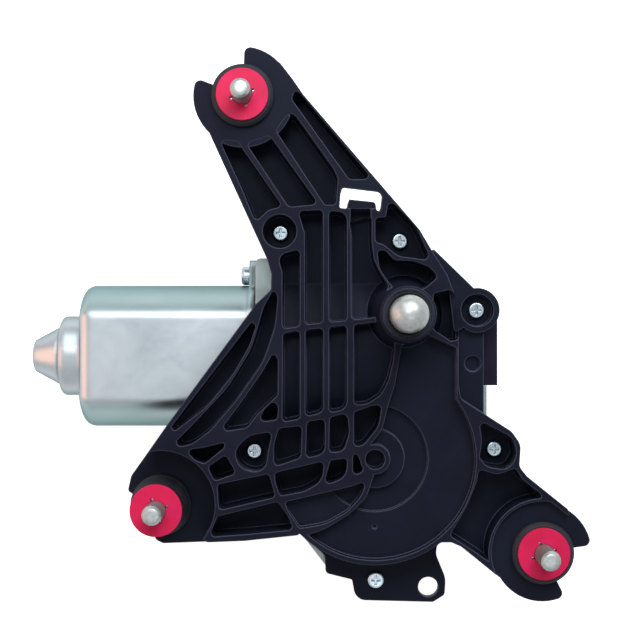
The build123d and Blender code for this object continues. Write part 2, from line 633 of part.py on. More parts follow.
def bracket_forks(body):
    """Adds the three fork plates and clears the space above and below them."""
    for (x, y, top, _), arm_end in zip((TOP_MOUNT, RIGHT_MOUNT), ARM_ENDS):
        body -= post(x, y, SKIN_UNDER_Z - OVER, top - FORK_PLATE, FORK_R)
        body -= prism(patch(*arm_end), SKIN_UNDER_Z - OVER, top - FORK_PLATE)
        body += post(x, y, top - FORK_PLATE, top, FORK_R)
    x, y, top, _ = RIGHT_MOUNT
    pad = Pos(x, y) * Circle(PAD_R) - make_face(Polyline(*RIGHT_ARM_EDGE, close=True))
    body -= prism(pad, top, HIGH)
    body -= post(LEFT_PAD_X, LEFT_PAD_Y, FLOOR_Z, HIGH, PAD_R + RIM / 2)
    body += prism(rounded_face(LOW_PLATE, CORNER_R), JOINT_Z, FLOOR_Z)
    top_low = RIB_TOP_Z - 2 * FORK_PLATE
    body -= prism(Pos(*TOP_MOUNT[:2]) * fork_mouth(*TOP_MOUTH), top_low, HIGH)
    body -= prism(Pos(*RIGHT_MOUNT[:2]) * fork_mouth(*RIGHT_MOUTH), top_low, HIGH)
    opening = sector(2 * FORK_R, *LEFT_MOUTH) + Circle(GROMMET_NECK_R)
    body -= prism(Pos(*LEFT_MOUNT[:2]) * opening, JOINT_Z - OVER, FLOOR_Z + OVER)
    return body


def bracket_dish(body):
    """Sinks the round dish over the wheel with its step, boss and bore, and hollows it from below."""
    field = Pos(WHEEL_X, WHEEL_Y) * Circle(DISH_R) + patch(DISH_FIELD_X, SIDE_X[0], WHEEL_Y, 0.0)
    plan = rounded_face(DISH_HOLLOW, SMALL_CORNER_R) & field
    fan = rounded_face(FAN_HOLLOW, POCKET_R)
    step = Pos(WHEEL_X, WHEEL_Y) * Circle(DISH_STEP_R)
    for face in (plan, fan):
        body -= prism(face, DISH_Z, HIGH)
        body -= prism(face & step, RECESS_Z, HIGH)
    body += prism(plan & (Pos(WHEEL_X, WHEEL_Y) * Circle(DISH_BOSS_R)), RECESS_Z, DISH_Z + DISH_BOSS_RISE)
    body += post(WHEEL_X, WHEEL_Y, RECESS_Z, RIB_TOP_Z, DISH_RING_R)
    body -= post(WHEEL_X, WHEEL_Y, RECESS_Z, HIGH, DISH_BORE_R)
    body -= post(*DISH_MARK, DISH_Z - DISH_MARK_DEPTH, HIGH, DISH_MARK_R)
    hollow = plan & (Pos(WHEEL_X, WHEEL_Y) * Circle(DISH_R - SKIN))
    hollow -= Pos(WHEEL_X, WHEEL_Y) * Circle(DISH_BOSS_R + SKIN)
    body -= prism(hollow, JOINT_Z - OVER, RECESS_Z - SKIN)
    return body


def bracket_side(body):
    """Adds the low plate, screw boss and web plate on the right of the tube."""
    body += prism(rounded_face(GUSSET, SMALL_CORNER_R), SIDE_BOSS_Z - SKIN, SIDE_BOSS_Z)
    body += block(*SIDE_X, *SIDE_Y, JOINT_Z, SIDE_PLATE_Z)
    body -= block(*SIDE_HOLLOW, JOINT_Z - OVER, SIDE_PLATE_Z - SKIN)
    body -= post(*KEY_HOLE, SIDE_PLATE_Z - KEY_HOLE_DEPTH, SIDE_PLATE_Z + OVER, KEY_HOLE_R)
    x, y, seat = COVER_SCREWS[2]
    body += post(x, y, JOINT_Z, SIDE_BOSS_Z, SIDE_BOSS_R)
    body -= post(x, y, seat, SIDE_BOSS_Z + OVER, SIDE_WELL_R)
    return body


def bracket_tube(body):
    """Adds the shaft tube with its conical foot, and bores it."""
    profile = [(0, RIM_Z), (TUBE_R - TUBE_CHAMFER, RIM_Z), (TUBE_R, RIM_Z - TUBE_CHAMFER),
               (TUBE_R, TUBE_FOOT_Z), (TUBE_FOOT_R, FLOOR_Z), (TUBE_FOOT_R, SKIN_UNDER_Z),
               (TUBE_R, SKIN_UNDER_Z), (TUBE_R, TUBE_LOW_Z), (0, TUBE_LOW_Z)]
    body += turned(profile, 0, 0)
    body -= post(0, 0, JOINT_Z - 2 * OVER, RIM_Z + OVER, TUBE_BORE_R)
    return body


def bracket_snap(body):
    """Cuts the slot through the top arm and leaves a lower snap tongue in it."""
    slot = rounded_face(SNAP_SLOT, SNAP_CORNER_R)
    body -= prism(slot, JOINT_Z - OVER, HIGH)
    body -= prism(Pos(*SNAP_RELIEF) * slot, JOINT_Z - OVER, SNAP_TOP_Z)
    body -= block(*SNAP_TONGUE, SNAP_TOP_Z, HIGH)
    body -= block(*SNAP_POCKET, RIB_TOP_Z - SNAP_POCKET_DEPTH, HIGH)
    return body


def bracket():
    """Ribbed moulded cover with three forks, the shaft tube and the joint rim."""
    body = prism(rounded_face(OUTLINE, CORNER_R), SKIN_UNDER_Z, RIB_TOP_Z)
    body += post(WHEEL_X, WHEEL_Y, JOINT_Z, RIB_TOP_Z, DRUM_OUT_R)
    body += prism(rounded_face(LUG, CORNER_R), JOINT_Z, LUG_Z)
    body -= post(WHEEL_X, WHEEL_Y, JOINT_Z - OVER, SKIN_UNDER_Z, DISH_R - RIM)
    body += prism(joint_face() - offset(joint_face(), -WALL), JOINT_Z, SKIN_UNDER_Z)
    for x, y, seat in COVER_SCREWS:
        body += post(x, y, JOINT_Z, min(seat, SKIN_UNDER_Z + OVER), SCREW_BOSS_R)
    body = bracket_forks(body)
    hollows = ARM_HOLLOWS + WEB_HOLLOWS + LATTICE_HOLLOWS + TUBE_HOLLOWS + RIGHT_ARM_HOLLOWS
    rim = post(*RIGHT_MOUNT[:2], FLOOR_Z, HIGH, RIGHT_RIM_R)
    body -= [pocket(points, FLOOR_Z) - rim for points in hollows]
    bulge = bar(*BAY_BULGE_X, WORM_Y, FLOOR_Z + BAY_BULGE - BAY_R, BAY_R)
    body -= [pocket(points, FLOOR_Z) - bulge for points in BAY_HOLLOWS]
    body -= post(*COVER_SCREWS[0], HIGH, SCREW_WELL_R)
    body = bracket_dish(body)
    body = bracket_side(body)
    body = bracket_tube(body)
    body = bracket_snap(body)
    for x, y, seat in COVER_SCREWS:
        body -= post(x, y, JOINT_Z - OVER, seat + OVER, SCREW_R + SCREW_GAP)
    body -= post(*LUG_HOLE, JOINT_Z - OVER, LUG_Z + OVER, LUG_HOLE_R)
    return body


def case_body():
    """Solid envelope of the gear case."""
    body = prism(case_face(), FLANGE_LOW_Z, CASE_TOP_Z)
    body += prism(link_face(FREE + WALL) & case_face(), LINK_LOW_Z - WALL, CASE_TOP_Z)
    body += post(WHEEL_X, WHEEL_Y, CASE_BACK_Z, CASE_TOP_Z, DRUM_R)
    low, high = WORM_Y - CHAMBER_OUT, WORM_Y + CHAMBER_OUT
    body += block(CASE_FACE_X, CHAMBER_RIGHT_X, low, high, CASE_BACK_Z, CASE_TOP_Z)
    low, high = WORM_Y - TUNNEL_HALF, WORM_Y + TUNNEL_HALF
    body += block(MID_WALL_X[1] - OVER, END_WALL_X[1] + OVER, low, high, TUNNEL_LOW_Z, CASE_TOP_Z)
    body += block(BAY_LEFT_X, BAY_RIGHT_X, *BAY_Y, CASE_BACK_Z, CASE_TOP_Z)
    for side in (-1, 1):
        ear = Pos(side * FLANGE_EAR_Y / 2, 0) * Rectangle(FLANGE_EAR_Y, 2 * FLANGE_EAR_R)
        ear += Pos(side * FLANGE_EAR_Y, 0) * Circle(FLANGE_EAR_R)
        body += along_x(ear, CASE_FACE_X, CASE_FACE_X + EAR_LENGTH)
    for x, y, _ in COVER_SCREWS:
        body += post(x, y, JOINT_Z - BOSS_DEPTH, CASE_TOP_Z, BOSS_R)
    return body - along_x(offset(flange_face(), FLANGE_GAP), CASE_FACE_X - EAR_LENGTH, CASE_FACE_X)


def gear_case():
    """Die-cast case: wheel drum, worm tunnel, brush chamber, linkage pocket and connector bay."""
    body = case_body()
    top = CASE_TOP_Z + OVER
    body -= post(WHEEL_X, WHEEL_Y, CASE_IN_Z, top, DRUM_IN_R)
    body -= prism(link_face(FREE) & offset(case_face(), -LINK_WALL), LINK_LOW_Z, top)
    body -= bar(MID_WALL_X[1], END_WALL_X[0], WORM_Y, WORM_Z, TUNNEL_IN_R)
    body -= block(MID_WALL_X[1], END_WALL_X[0], WORM_Y - TUNNEL_IN_R, WORM_Y + TUNNEL_IN_R, WORM_Z, top)
    chamber = block(CASE_FACE_X + WALL, MID_WALL_X[0], WORM_Y - CHAMBER_IN, WORM_Y + CHAMBER_IN, CASE_IN_Z,
                    CASE_TOP_Z - SKIN)
    body -= chamber - post(WHEEL_X, WHEEL_Y, CASE_BACK_Z, CASE_TOP_Z, DRUM_IN_R + DRUM_WALL)
    body -= along_x(can_face(MOUTH_INSET), CASE_FACE_X - OVER, CASE_FACE_X + WALL + OVER)
    body -= bar(MID_WALL_X[0] - OVER, MID_WALL_X[1] + OVER, WORM_Y, WORM_Z, MID_BEARING_R)
    body -= bar(END_WALL_X[0] - OVER, END_WALL_X[0] + BEARING_LENGTH, WORM_Y, WORM_Z, END_BEARING_R)
    body -= bar(END_WALL_X[0], END_WALL_X[1] + 2 * OVER, WORM_Y, WORM_Z, MOTOR_SHAFT_R + RUNNING)
    low, high = BAY_Y[0] + WALL, BAY_Y[1] - WALL
    body -= block(END_WALL_X[1], BAY_RIGHT_X - WALL, low, high, CASE_IN_Z, FLANGE_LOW_Z)
    body -= block(BAY_LEFT_X + WALL, BAY_RIGHT_X - WALL, low, high, CASE_IN_Z, TUNNEL_LOW_Z)
    body -= block(CONNECTOR_X[0], BAY_RIGHT_X + OVER, *CONNECTOR_Y, *CONNECTOR_Z)
    body -= block(HOOD_X, BAY_RIGHT_X + OVER, *CONNECTOR_Y, CONNECTOR_Z[1], CASE_TOP_Z + OVER)
    body += post(WHEEL_X, WHEEL_Y, CASE_IN_Z, AXLE_BOSS_Z, AXLE_BOSS_R)
    for angle in BOARD_POST_ANGLES:
        x = WHEEL_X + BOARD_POST_REACH * cos(radians(angle))
        y = WHEEL_Y + BOARD_POST_REACH * sin(radians(angle))
        body += post(x, y, CASE_IN_Z - OVER, BOARD_Z, BOARD_POST_R)
    body -= post(WHEEL_X, WHEEL_Y, CASE_IN_Z, AXLE_BOSS_Z + OVER, AXLE_R)
    for x, y, _ in COVER_SCREWS:
        body -= post(x, y, JOINT_Z - SCREW_HOLE_DEPTH, top, SCREW_R + RUNNING)
    for side in (-1, 1):
        body -= bar(CASE_FACE_X - OVER, CASE_FACE_X + EAR_LENGTH + OVER, WORM_Y + side * FLANGE_EAR_Y, WORM_Z,
                    MOTOR_SCREW_R + RUNNING)
    return body


def case_seal():
    """Flat gasket between the case flange and the bracket rim."""
    face = joint_face()
    seal = prism(face - offset(face, -SEAL_WIDTH), CASE_TOP_Z, JOINT_Z)
    for x, y, _ in COVER_SCREWS:
        seal += post(x, y, CASE_TOP_Z, JOINT_Z, SEAL_EYE_R)
        seal -= post(x, y, CASE_TOP_Z - OVER, JOINT_Z + OVER, SCREW_R + FREE)
    return seal


def can_face(inset):
    """Two-flat section of the motor can."""
    radius = CAN_R - inset
    plan = Circle(radius) & Rectangle(2 * radius, 2 * (CAN_FLAT - inset))
    corners = [v for v in plan.vertices() if abs(v.Y) > CAN_FLAT / 2]
    return fillet(corners, CAN_CORNER - inset / 2)


def flange_face():
    """Plan of the motor flange with its two screw ears."""
    plan = Circle(CAN_R + FLANGE_LIP) & Rectangle(3 * CAN_R, 2 * CAN_FLAT + FLANGE_LIP)
    for side in (-1, 1):
        plan += Pos(side * FLANGE_EAR_Y, 0) * Circle(FLANGE_EAR_R)
        foot = side * CAN_FLAT
        tip = side * (FLANGE_EAR_Y + FLANGE_TIP_RISE)
        ear = [(foot, -FLANGE_FOOT_HALF), (foot, FLANGE_FOOT_HALF),
               (tip, FLANGE_TIP_HALF), (tip, -FLANGE_TIP_HALF)]
        plan += make_face(Polyline(*ear, close=True))
    return plan


def motor_can():
    """Drawn steel can with two flats, a rounded shoulder, a bearing boss and a screw flange."""
    body = along_x(can_face(0), CAN_LEFT_X, CAN_FLANGE_X)
    shoulder = body.faces().sort_by(Axis.X)[0].edges()
    body = fillet(shoulder, CAN_SHOULDER)
    body += bar(CAN_LEFT_X - CAN_BOSS, CAN_LEFT_X + OVER, WORM_Y, WORM_Z, CAN_BOSS_R)
    rim = body.faces().sort_by(Axis.X)[0].edges()
    body = fillet(rim, CAN_BOSS_EDGE_R)
    body += along_x(flange_face(), CAN_FLANGE_X - CAN_FLANGE, CAN_FLANGE_X)
    inner = along_x(can_face(CAN_SHEET), CAN_LEFT_X + CAN_SHEET, CAN_FLANGE_X + OVER)
    inner = fillet(inner.faces().sort_by(Axis.X)[0].edges(), CAN_SHOULDER - CAN_SHEET)
    body -= inner
    inside = CAN_LEFT_X - CAN_BOSS + CAN_SHEET
    body -= bar(inside, CAN_LEFT_X + CAN_SHEET + OVER, WORM_Y, WORM_Z, CAN_BOSS_R - CAN_SHEET)
    body -= bar(CAN_LEFT_X - CAN_BOSS - OVER, CAN_LEFT_X, WORM_Y, WORM_Z, CAN_END_BORE_R)
    for side in (-1, 1):
        y = WORM_Y + side * FLANGE_EAR_Y
        body -= bar(CAN_FLANGE_X - CAN_FLANGE - OVER, CAN_FLANGE_X + OVER, y, WORM_Z,
                    MOTOR_SCREW_R + SCREW_GAP)
    return body


def end_cap():
    """Pressed conical cap over the end of the bearing boss."""
    base = CAN_LEFT_X - CAN_BOSS
    tip = base - CAP_LENGTH
    neck = base - CAP_NECK
    outer = [(base, 0), (base, CAP_R), (neck, CAP_TIP_R), (tip + CAP_EDGE, CAP_EDGE_R),
             (tip, CAP_FACE_R), (tip, 0)]
    inner = [(base, 0), (base, CAP_R - CAP_WALL), (neck, CAP_TIP_R - CAP_WALL), (tip + CAP_WALL, PAD_THRUST_R),
             (tip + CAP_WALL, 0)]
    return turned_x(outer) - turned_x(inner)


def motor_gasket():
    """Gasket between the motor flange and the case."""
    seal = along_x(flange_face(), CAN_FLANGE_X, CASE_FACE_X)
    seal -= along_x(can_face(MOUTH_INSET), CAN_FLANGE_X - OVER, CASE_FACE_X + OVER)
    for side in (-1, 1):
        y = WORM_Y + side * FLANGE_EAR_Y
        seal -= bar(CAN_FLANGE_X - OVER, CASE_FACE_X + OVER, y, WORM_Z, MOTOR_SCREW_R + SCREW_GAP)
    return seal


def motor_screws():
    """Two pan-head screws through the motor flange."""
    screws = []
    right = CAN_FLANGE_X - CAN_FLANGE
    left = right - MOTOR_SCREW_HEAD
    long, half = MOTOR_CROSS_HALF, MOTOR_CROSS_WIDTH / 2
    for side in (-1, 1):
        y = WORM_Y + side * FLANGE_EAR_Y
        head = bar(left, right, y, WORM_Z, MOTOR_SCREW_HEAD_R)
        head = fillet(head.faces().sort_by(Axis.X)[0].edges(), MOTOR_SCREW_EDGE_R)
        head -= block(left - OVER, left + CROSS_DEPTH, y - long, y + long, WORM_Z - half, WORM_Z + half)
        head -= block(left - OVER, left + CROSS_DEPTH, y - half, y + half, WORM_Z - long, WORM_Z + long)
        screws.append(head + bar(right - OVER, right + MOTOR_SCREW_LENGTH, y, WORM_Z, MOTOR_SCREW_R))
    return Compound(children=screws)


def cover_screws():
    """Six cross-recessed screws that hold the bracket on the case."""
    screws = []
    long, half = CROSS_HALF, CROSS_WIDTH / 2
    for x, y, seat in COVER_SCREWS:
        top = seat + SCREW_HEAD
        head = post(x, y, seat, top, SCREW_HEAD_R)
        head = fillet(head.faces().sort_by(Axis.Z)[-1].edges(), SCREW_EDGE_R)
        head -= block(x - long, x + long, y - half, y + half, top - CROSS_DEPTH, top + OVER)
        head -= block(x - half, x + half, y - long, y + long, top - CROSS_DEPTH, top + OVER)
        screws.append(head + post(x, y, seat - SCREW_LENGTH, seat + OVER, SCREW_R))
    return Compound(children=screws)


def magnets():
    """Two ferrite arcs against the round sides of the can."""
    outer = CAN_R - CAN_SHEET
    arc = Circle(outer) - Circle(ARMATURE_R + AIR_GAP)
    arc &= Rectangle(2 * outer, 2 * MAGNET_HALF)
    arcs = []
    for side in (-1, 1):
        half = arc & (Pos(side * outer, 0) * Rectangle(outer, 4 * outer))
        arcs += along_x(half, CORE_LEFT_X - MAGNET_OVERHANG, CORE_RIGHT_X + MAGNET_OVERHANG).solids()
    return Compound(children=arcs)


def slot_places(radius):
    """Centres of the armature slots in Y and Z about the motor axis."""
    return [(radius * cos(2 * pi * i / SLOTS), radius * sin(2 * pi * i / SLOTS)) for i in range(SLOTS)]


def armature_core():
    """Stack of laminations with round slots."""
    plan = Circle(ARMATURE_R) - Circle(MOTOR_SHAFT_R)
    for y, z in slot_places(SLOT_PITCH_R):
        plan -= Pos(y, z) * Circle(SLOT_R)
    for y, z in slot_places(SLOT_MOUTH_R):
        plan -= Pos(y, z) * Rot(0, 0, degrees(atan2(z, y))) * Rectangle(*SLOT_MOUTH)
    return along_x(plan, CORE_LEFT_X, CORE_RIGHT_X)


def windings():
    """Copper bars in the slots with a bundle at either end."""
    body = None
    for x0, x1 in ((CORE_LEFT_X - BUNDLE_LEFT, CORE_LEFT_X), (CORE_RIGHT_X, CORE_RIGHT_X + BUNDLE_RIGHT)):
        bundle = bar(x0, x1, WORM_Y, WORM_Z, BUNDLE_R)
        bundle -= bar(x0 - OVER, x1 + OVER, WORM_Y, WORM_Z, BUNDLE_BORE_R)
        body = bundle if body is None else body + bundle
    for y, z in slot_places(SLOT_PITCH_R):
        body += bar(CORE_LEFT_X - OVER, CORE_RIGHT_X + OVER, WORM_Y + y, WORM_Z + z, SLOT_R - BAR_GAP)
    return body


def commutator():
    """Segmented copper drum pressed on the shaft."""
    end = COMMUTATOR_X + COMMUTATOR_LENGTH
    body = bar(COMMUTATOR_X, end, WORM_Y, WORM_Z, COMMUTATOR_R)
    half, low, high = SEGMENT_GAP / 2, COMMUTATOR_R - SEGMENT_DEPTH, COMMUTATOR_R + OVER
    for i in range(SLOTS):
        groove = block(COMMUTATOR_X - OVER, end + OVER, -half, half, low, high)
        body -= Pos(0, WORM_Y, WORM_Z) * Rot(360 * i / SLOTS, 0, 0) * groove
    hub = COMMUTATOR_X - COMMUTATOR_HUB
    body += bar(hub, COMMUTATOR_X, WORM_Y, WORM_Z, COMMUTATOR_HUB_R)
    return body - bar(hub - OVER, end + OVER, WORM_Y, WORM_Z, MOTOR_SHAFT_R)


def armature_shaft():
    """Motor shaft with the single-start worm."""
    root = WORM_PITCH_R - DEDENDUM - BACKLASH
    crest = WORM_PITCH_R + MODULE
    start = WHEEL_X - WORM_LEAD / 4 - WORM_LEAD * WORM_TURNS / 2
    path = Helix(WORM_LEAD, WORM_TURNS * WORM_LEAD, WORM_PITCH_R)
    low = root - THREAD_SINK
    flank = [(low, -THREAD_ROOT_HALF), (crest, -THREAD_CREST_HALF),
             (crest, THREAD_CREST_HALF), (low, THREAD_ROOT_HALF)]
    thread = sweep(Plane.XZ * make_face(Polyline(*flank, close=True)), path, is_frenet=True)
    thread = Pos(start, WORM_Y, WORM_Z) * Rot(0, 90, 0) * thread
    body = bar(SHAFT_LEFT_X, END_WALL_X[0] + BEARING_LENGTH, WORM_Y, WORM_Z, MOTOR_SHAFT_R)
    body += bar(WHEEL_X - WORM_HALF - WORM_RUNOUT, WHEEL_X + WORM_HALF, WORM_Y, WORM_Z, root)
    return body + thread


def rear_bearing():
    """Sintered bush in the can's boss with its star retainer."""
    left = CAN_LEFT_X - CAN_BOSS + CAN_SHEET
    right = left + REAR_BEARING_LENGTH
    star = left + RETAINER_PLACE
    body = bar(left, right, WORM_Y, WORM_Z, REAR_BEARING_R)
    body += bar(star, star + RETAINER, WORM_Y, WORM_Z, CAN_BOSS_R - CAN_SHEET)
    return body - bar(left - OVER, right + OVER, WORM_Y, WORM_Z, MOTOR_SHAFT_R + RUNNING)


def bush(x0, x1, radius):
    """Plain bush on the motor shaft."""
    bore = bar(x0 - OVER, x1 + OVER, WORM_Y, WORM_Z, MOTOR_SHAFT_R + RUNNING)
    return bar(x0, x1, WORM_Y, WORM_Z, radius) - bore


def mid_bearing():
    """Bush in the wall between the brush chamber and the worm."""
    return bush(*MID_WALL_X, MID_BEARING_R)


def end_bearing():
    """Bush at the far end of the worm."""
    return bush(END_WALL_X[0], END_WALL_X[0] + BEARING_LENGTH, END_BEARING_R)


def thrust_screw():
    """Setting screw that takes the end play out of the shaft."""
    left = END_WALL_X[0] + BEARING_LENGTH + END_PLAY
    right = END_WALL_X[1] + THRUST_STAND
    body = bar(left, right, WORM_Y, WORM_Z, MOTOR_SHAFT_R)
    long, half = THRUST_SLOT_REACH, THRUST_SLOT_HALF
    return body - block(right - THRUST_SLOT_DEPTH, right + OVER, WORM_Y - long, WORM_Y + long, WORM_Z - half,
                        WORM_Z + half)


def thrust_pad():
    """Pad inside the end cap that the shaft runs against."""
    left = CAN_LEFT_X - CAN_BOSS - CAP_LENGTH + CAP_WALL
    return bar(left, SHAFT_LEFT_X - END_PLAY, WORM_Y, WORM_Z, PAD_THRUST_R)


def brush_holder():
    """Moulded card with a box for each brush."""
    reach = CHAMBER_IN - CARD_GAP
    body = block(CARD_X, CARD_X + CARD, WORM_Y - reach, WORM_Y + reach, WORM_Z - CARD_HALF, WORM_Z + CARD_HALF)
    body += bar(CARD_X, CARD_X + CARD, WORM_Y, WORM_Z, CARD_R)
    for side in (-1, 1):
        y = WORM_Y + side * BOX_Y
        body += block(CARD_X, BRUSH_X[1] + BOX_WALL, y - BOX_REACH, y + BOX_REACH, WORM_Z - BOX_HALF,
                      WORM_Z + BOX_HALF)
    body -= bar(CARD_X - OVER, BRUSH_X[1] + 2 * OVER, WORM_Y, WORM_Z, COMMUTATOR_R + BOX_WALL)
    half = BRUSH_HALF + CARD_GAP
    for side in (-1, 1):
        y = WORM_Y + side * BOX_SLOT_Y
        body -= block(BRUSH_X[0] - BRUSH_GAP, BRUSH_X[1] + BRUSH_GAP, y - BOX_SLOT_REACH, y + BOX_SLOT_REACH,
                      WORM_Z - half, WORM_Z + half)
    return body


def brushes():
    """Two carbon brushes shaped to the commutator."""
    drum = bar(BRUSH_X[0] - OVER, BRUSH_X[1] + OVER, WORM_Y, WORM_Z, COMMUTATOR_R + BRUSH_BED)
    blocks = []
    for side in (-1, 1):
        y = WORM_Y + side * BRUSH_Y
        brush = block(*BRUSH_X, y - BRUSH_REACH, y + BRUSH_REACH, WORM_Z - BRUSH_HALF, WORM_Z + BRUSH_HALF)
        blocks.append(brush - drum)
    return Compound(children=blocks)


def brush_springs():
    """Springs that press the brushes inwards."""
    springs = []
    x = (BRUSH_X[0] + BRUSH_X[1]) / 2
    path = Helix(SPRING_PITCH, SPRING_LENGTH, SPRING_R)
    wire = sweep(Plane(origin=path @ 0, z_dir=path % 0) * Circle(SPRING_WIRE_R), path, is_frenet=True)
    wire = Rot(90, 0, 0) * Pos(0, 0, -SPRING_LENGTH / 2) * wire
    for side in (-1, 1):
        springs.append(Pos(x, WORM_Y + side * SPRING_Y, WORM_Z) * wire)
    return Compound(children=springs)


def worm_wheel():
    """Moulded wheel: toothed rim, web with ribs, hub and crank boss."""
    root_r = WHEEL_PITCH_R - DEDENDUM
    tip_r = WHEEL_PITCH_R + MODULE
    low = root_r - TOOTH_SINK
    flank = [(-TOOTH_ROOT_HALF, low), (-TOOTH_TIP_HALF, tip_r),
             (TOOTH_TIP_HALF, tip_r), (TOOTH_ROOT_HALF, low)]
    tooth = extrude(make_face(Polyline(*flank, close=True)), WHEEL_FACE / 2 + OVER, both=True)
    tooth = Pos(0, WHEEL_PITCH_R) * Rot(0, -WORM_LEAD_ANGLE, 0) * Pos(0, -WHEEL_PITCH_R) * tooth
    tooth &= Box(WHEEL_FACE, 3 * WHEEL_PITCH_R, WHEEL_FACE)
    body = Cylinder(root_r, WHEEL_FACE) - Pos(0, 0, WHEEL_WEB) * Cylinder(root_r - WHEEL_RIM, WHEEL_FACE)
    body += [Rot(0, 0, 360 * i / WHEEL_TEETH) * tooth for i in range(WHEEL_TEETH)]
    rib = Pos(0, root_r / 2, 0) * Box(WHEEL_RIB, root_r - OVER, WHEEL_FACE - 2 * WHEEL_RIB_DROP)
    body += [Rot(0, 0, 360 * (i + 0.5) / WHEEL_RIBS) * rib for i in range(WHEEL_RIBS)]
    body = Pos(WHEEL_X, WHEEL_Y, WORM_Z) * body
    body += post(WHEEL_X, WHEEL_Y, AXLE_BOSS_Z + SIDE_PLAY, WHEEL_TOP_Z, AXLE_R + HUB_WALL)
    body += post(CRANK_X, CRANK_Y, WHEEL_LOW_Z, WHEEL_TOP_Z, CRANK_BOSS_R)
    body -= post(CRANK_X, CRANK_Y, WHEEL_LOW_Z + PIN_FLOOR, WHEEL_TOP_Z + OVER, PIN_R)
    return body - post(WHEEL_X, WHEEL_Y, AXLE_BOSS_Z, WHEEL_TOP_Z + OVER, AXLE_R + RUNNING)


def wheel_axle():
    """Fixed steel pin that carries the wheel."""
    body = post(WHEEL_X, WHEEL_Y, CASE_IN_Z, AXLE_TOP_Z, AXLE_R)
    return body - ring(WHEEL_X, WHEEL_Y, *CLIP_Z, AXLE_R + OVER, CLIP_BED_R)


def axle_clip():
    """Open spring clip in the groove of the wheel axle."""
    clip = ring(WHEEL_X, WHEEL_Y, *CLIP_Z, CLIP_R, CLIP_BED_R)
    half = CLIP_MOUTH_HALF
    return clip - block(WHEEL_X, WHEEL_X + CLIP_R + OVER, WHEEL_Y - half, WHEEL_Y + half,
                        CLIP_Z[0] - OVER, AXLE_TOP_Z)


def contact_ring():
    """Park contact track under the wheel, with its gap."""
    track = ring(WHEEL_X, WHEEL_Y, WHEEL_LOW_Z - TRACK, WHEEL_LOW_Z, *TRACK_R)
    half = TRACK_GAP_HALF
    return track - block(WHEEL_X, WHEEL_X + TRACK_R[0] + OVER, WHEEL_Y - half, WHEEL_Y + half,
                         WHEEL_LOW_Z - OVER, WHEEL_LOW_Z + OVER)


def crank_pin():
    """Steel pin pressed in the wheel; it stops short of the rod, where the loop is open."""
    return post(CRANK_X, CRANK_Y, WHEEL_LOW_Z + PIN_FLOOR, ROD_Z - LOOP_GAP, PIN_R)


def connecting_rod():
    """Flat rod with an eye at either end."""
    plan = Circle(ROD_EYE_R) + Pos(ROD_LENGTH, 0) * Circle(ROD_EYE_R)
    plan += Pos(ROD_LENGTH / 2, 0) * Rectangle(ROD_LENGTH, ROD_WIDTH)
    plan -= Circle(PIN_R + RUNNING) + Pos(ROD_LENGTH, 0) * Circle(PIN_R + RUNNING)
    plan -= Pos(ROD_LENGTH / 2, 0) * Rectangle(ROD_LENGTH - ROD_SLOT_ENDS, ROD_SLOT_WIDTH)
    return Pos(ROCKER_PIN_X, ROCKER_PIN_Y, 0) * Rot(0, 0, ROD_ANGLE) * prism(plan, ROD_Z, ROD_Z + ROD_THICK)


def rocker_lever():
    """Lever pressed on the lower end of the output shaft."""
    plan = Circle(ROCKER_EYE_R) + Pos(ROCKER_R, 0) * Circle(ROCKER_TIP_R)
    near, far = ROCKER_EYE_R - ROCKER_WAIST, ROCKER_TIP_R - ROCKER_WAIST
    plan += make_face(Polyline((0, -near), (ROCKER_R, -far), (ROCKER_R, far), (0, near), close=True))
    plan -= Circle(SPIGOT_R) + Pos(ROCKER_R, 0) * Circle(PIN_R)
    return Rot(0, 0, degrees(ROCKER_ANGLE)) * prism(plan, ROCKER_Z, ROCKER_Z + ROCKER_THICK)


def rocker_pin():
    """Riveted pin that the rod turns on."""
    x, y = ROCKER_PIN_X, ROCKER_PIN_Y
    low = ROD_Z - SIDE_PLAY
    body = post(x, y, low, ROCKER_Z + ROCKER_THICK, PIN_R)
    body += post(x, y, low - PIN_HEAD, low, PIN_HEAD_R)
    return body + post(x, y, ROD_Z + ROD_THICK + SIDE_PLAY, ROCKER_Z, PIN_SHOULDER_R)


def output_shaft():
    """Shaft with a polished domed head."""
    step = ROCKER_Z + ROCKER_THICK
    bed = SHAFT_HEAD_R - GROOVE_DEPTH
    profile = Polyline((0, ROCKER_Z), (SPIGOT_R, ROCKER_Z), (SPIGOT_R, step), (SHAFT_R, step),
                       (SHAFT_R, SHAFT_STEP_Z), (SHAFT_HEAD_R, SHAFT_STEP_Z), (SHAFT_HEAD_R, RIM_Z - GROOVE),
                       (bed, RIM_Z - GROOVE), (bed, RIM_Z), (SHAFT_HEAD_R, RIM_Z), (SHAFT_HEAD_R, DOME_Z))
    rise = SHAFT_TIP_Z - DOME_Z
    dome_r = (SHAFT_HEAD_R**2 + rise**2) / (2 * rise)
    half = asin(SHAFT_HEAD_R / dome_r) / 2
    middle = (dome_r * sin(half), SHAFT_TIP_Z - dome_r * (1 - cos(half)))
    dome = ThreePointArc((SHAFT_HEAD_R, DOME_Z), middle, (0, SHAFT_TIP_Z))
    spine = Line((0, SHAFT_TIP_Z), (0, ROCKER_Z))
    return revolve(Plane.XZ * make_face([*profile.edges(), dome, spine]), Axis.Z)


def shaft_bushes():
    """Two bushes in the tube."""
    top = SHAFT_STEP_Z - BUSH_GAP
    low = ring(0, 0, TUBE_LOW_Z, TUBE_LOW_Z + BUSH_LENGTH, TUBE_BORE_R, SHAFT_R + RUNNING)
    high = ring(0, 0, top - BUSH_LENGTH, top, TUBE_BORE_R, SHAFT_R + RUNNING)
    return Compound(children=[low, high])


def thrust_washer():
    """Washer between the tube and the rocker."""
    return ring(0, 0, ROCKER_Z + ROCKER_THICK + SIDE_PLAY, TUBE_LOW_Z, WASHER_R, SHAFT_R + RUNNING)


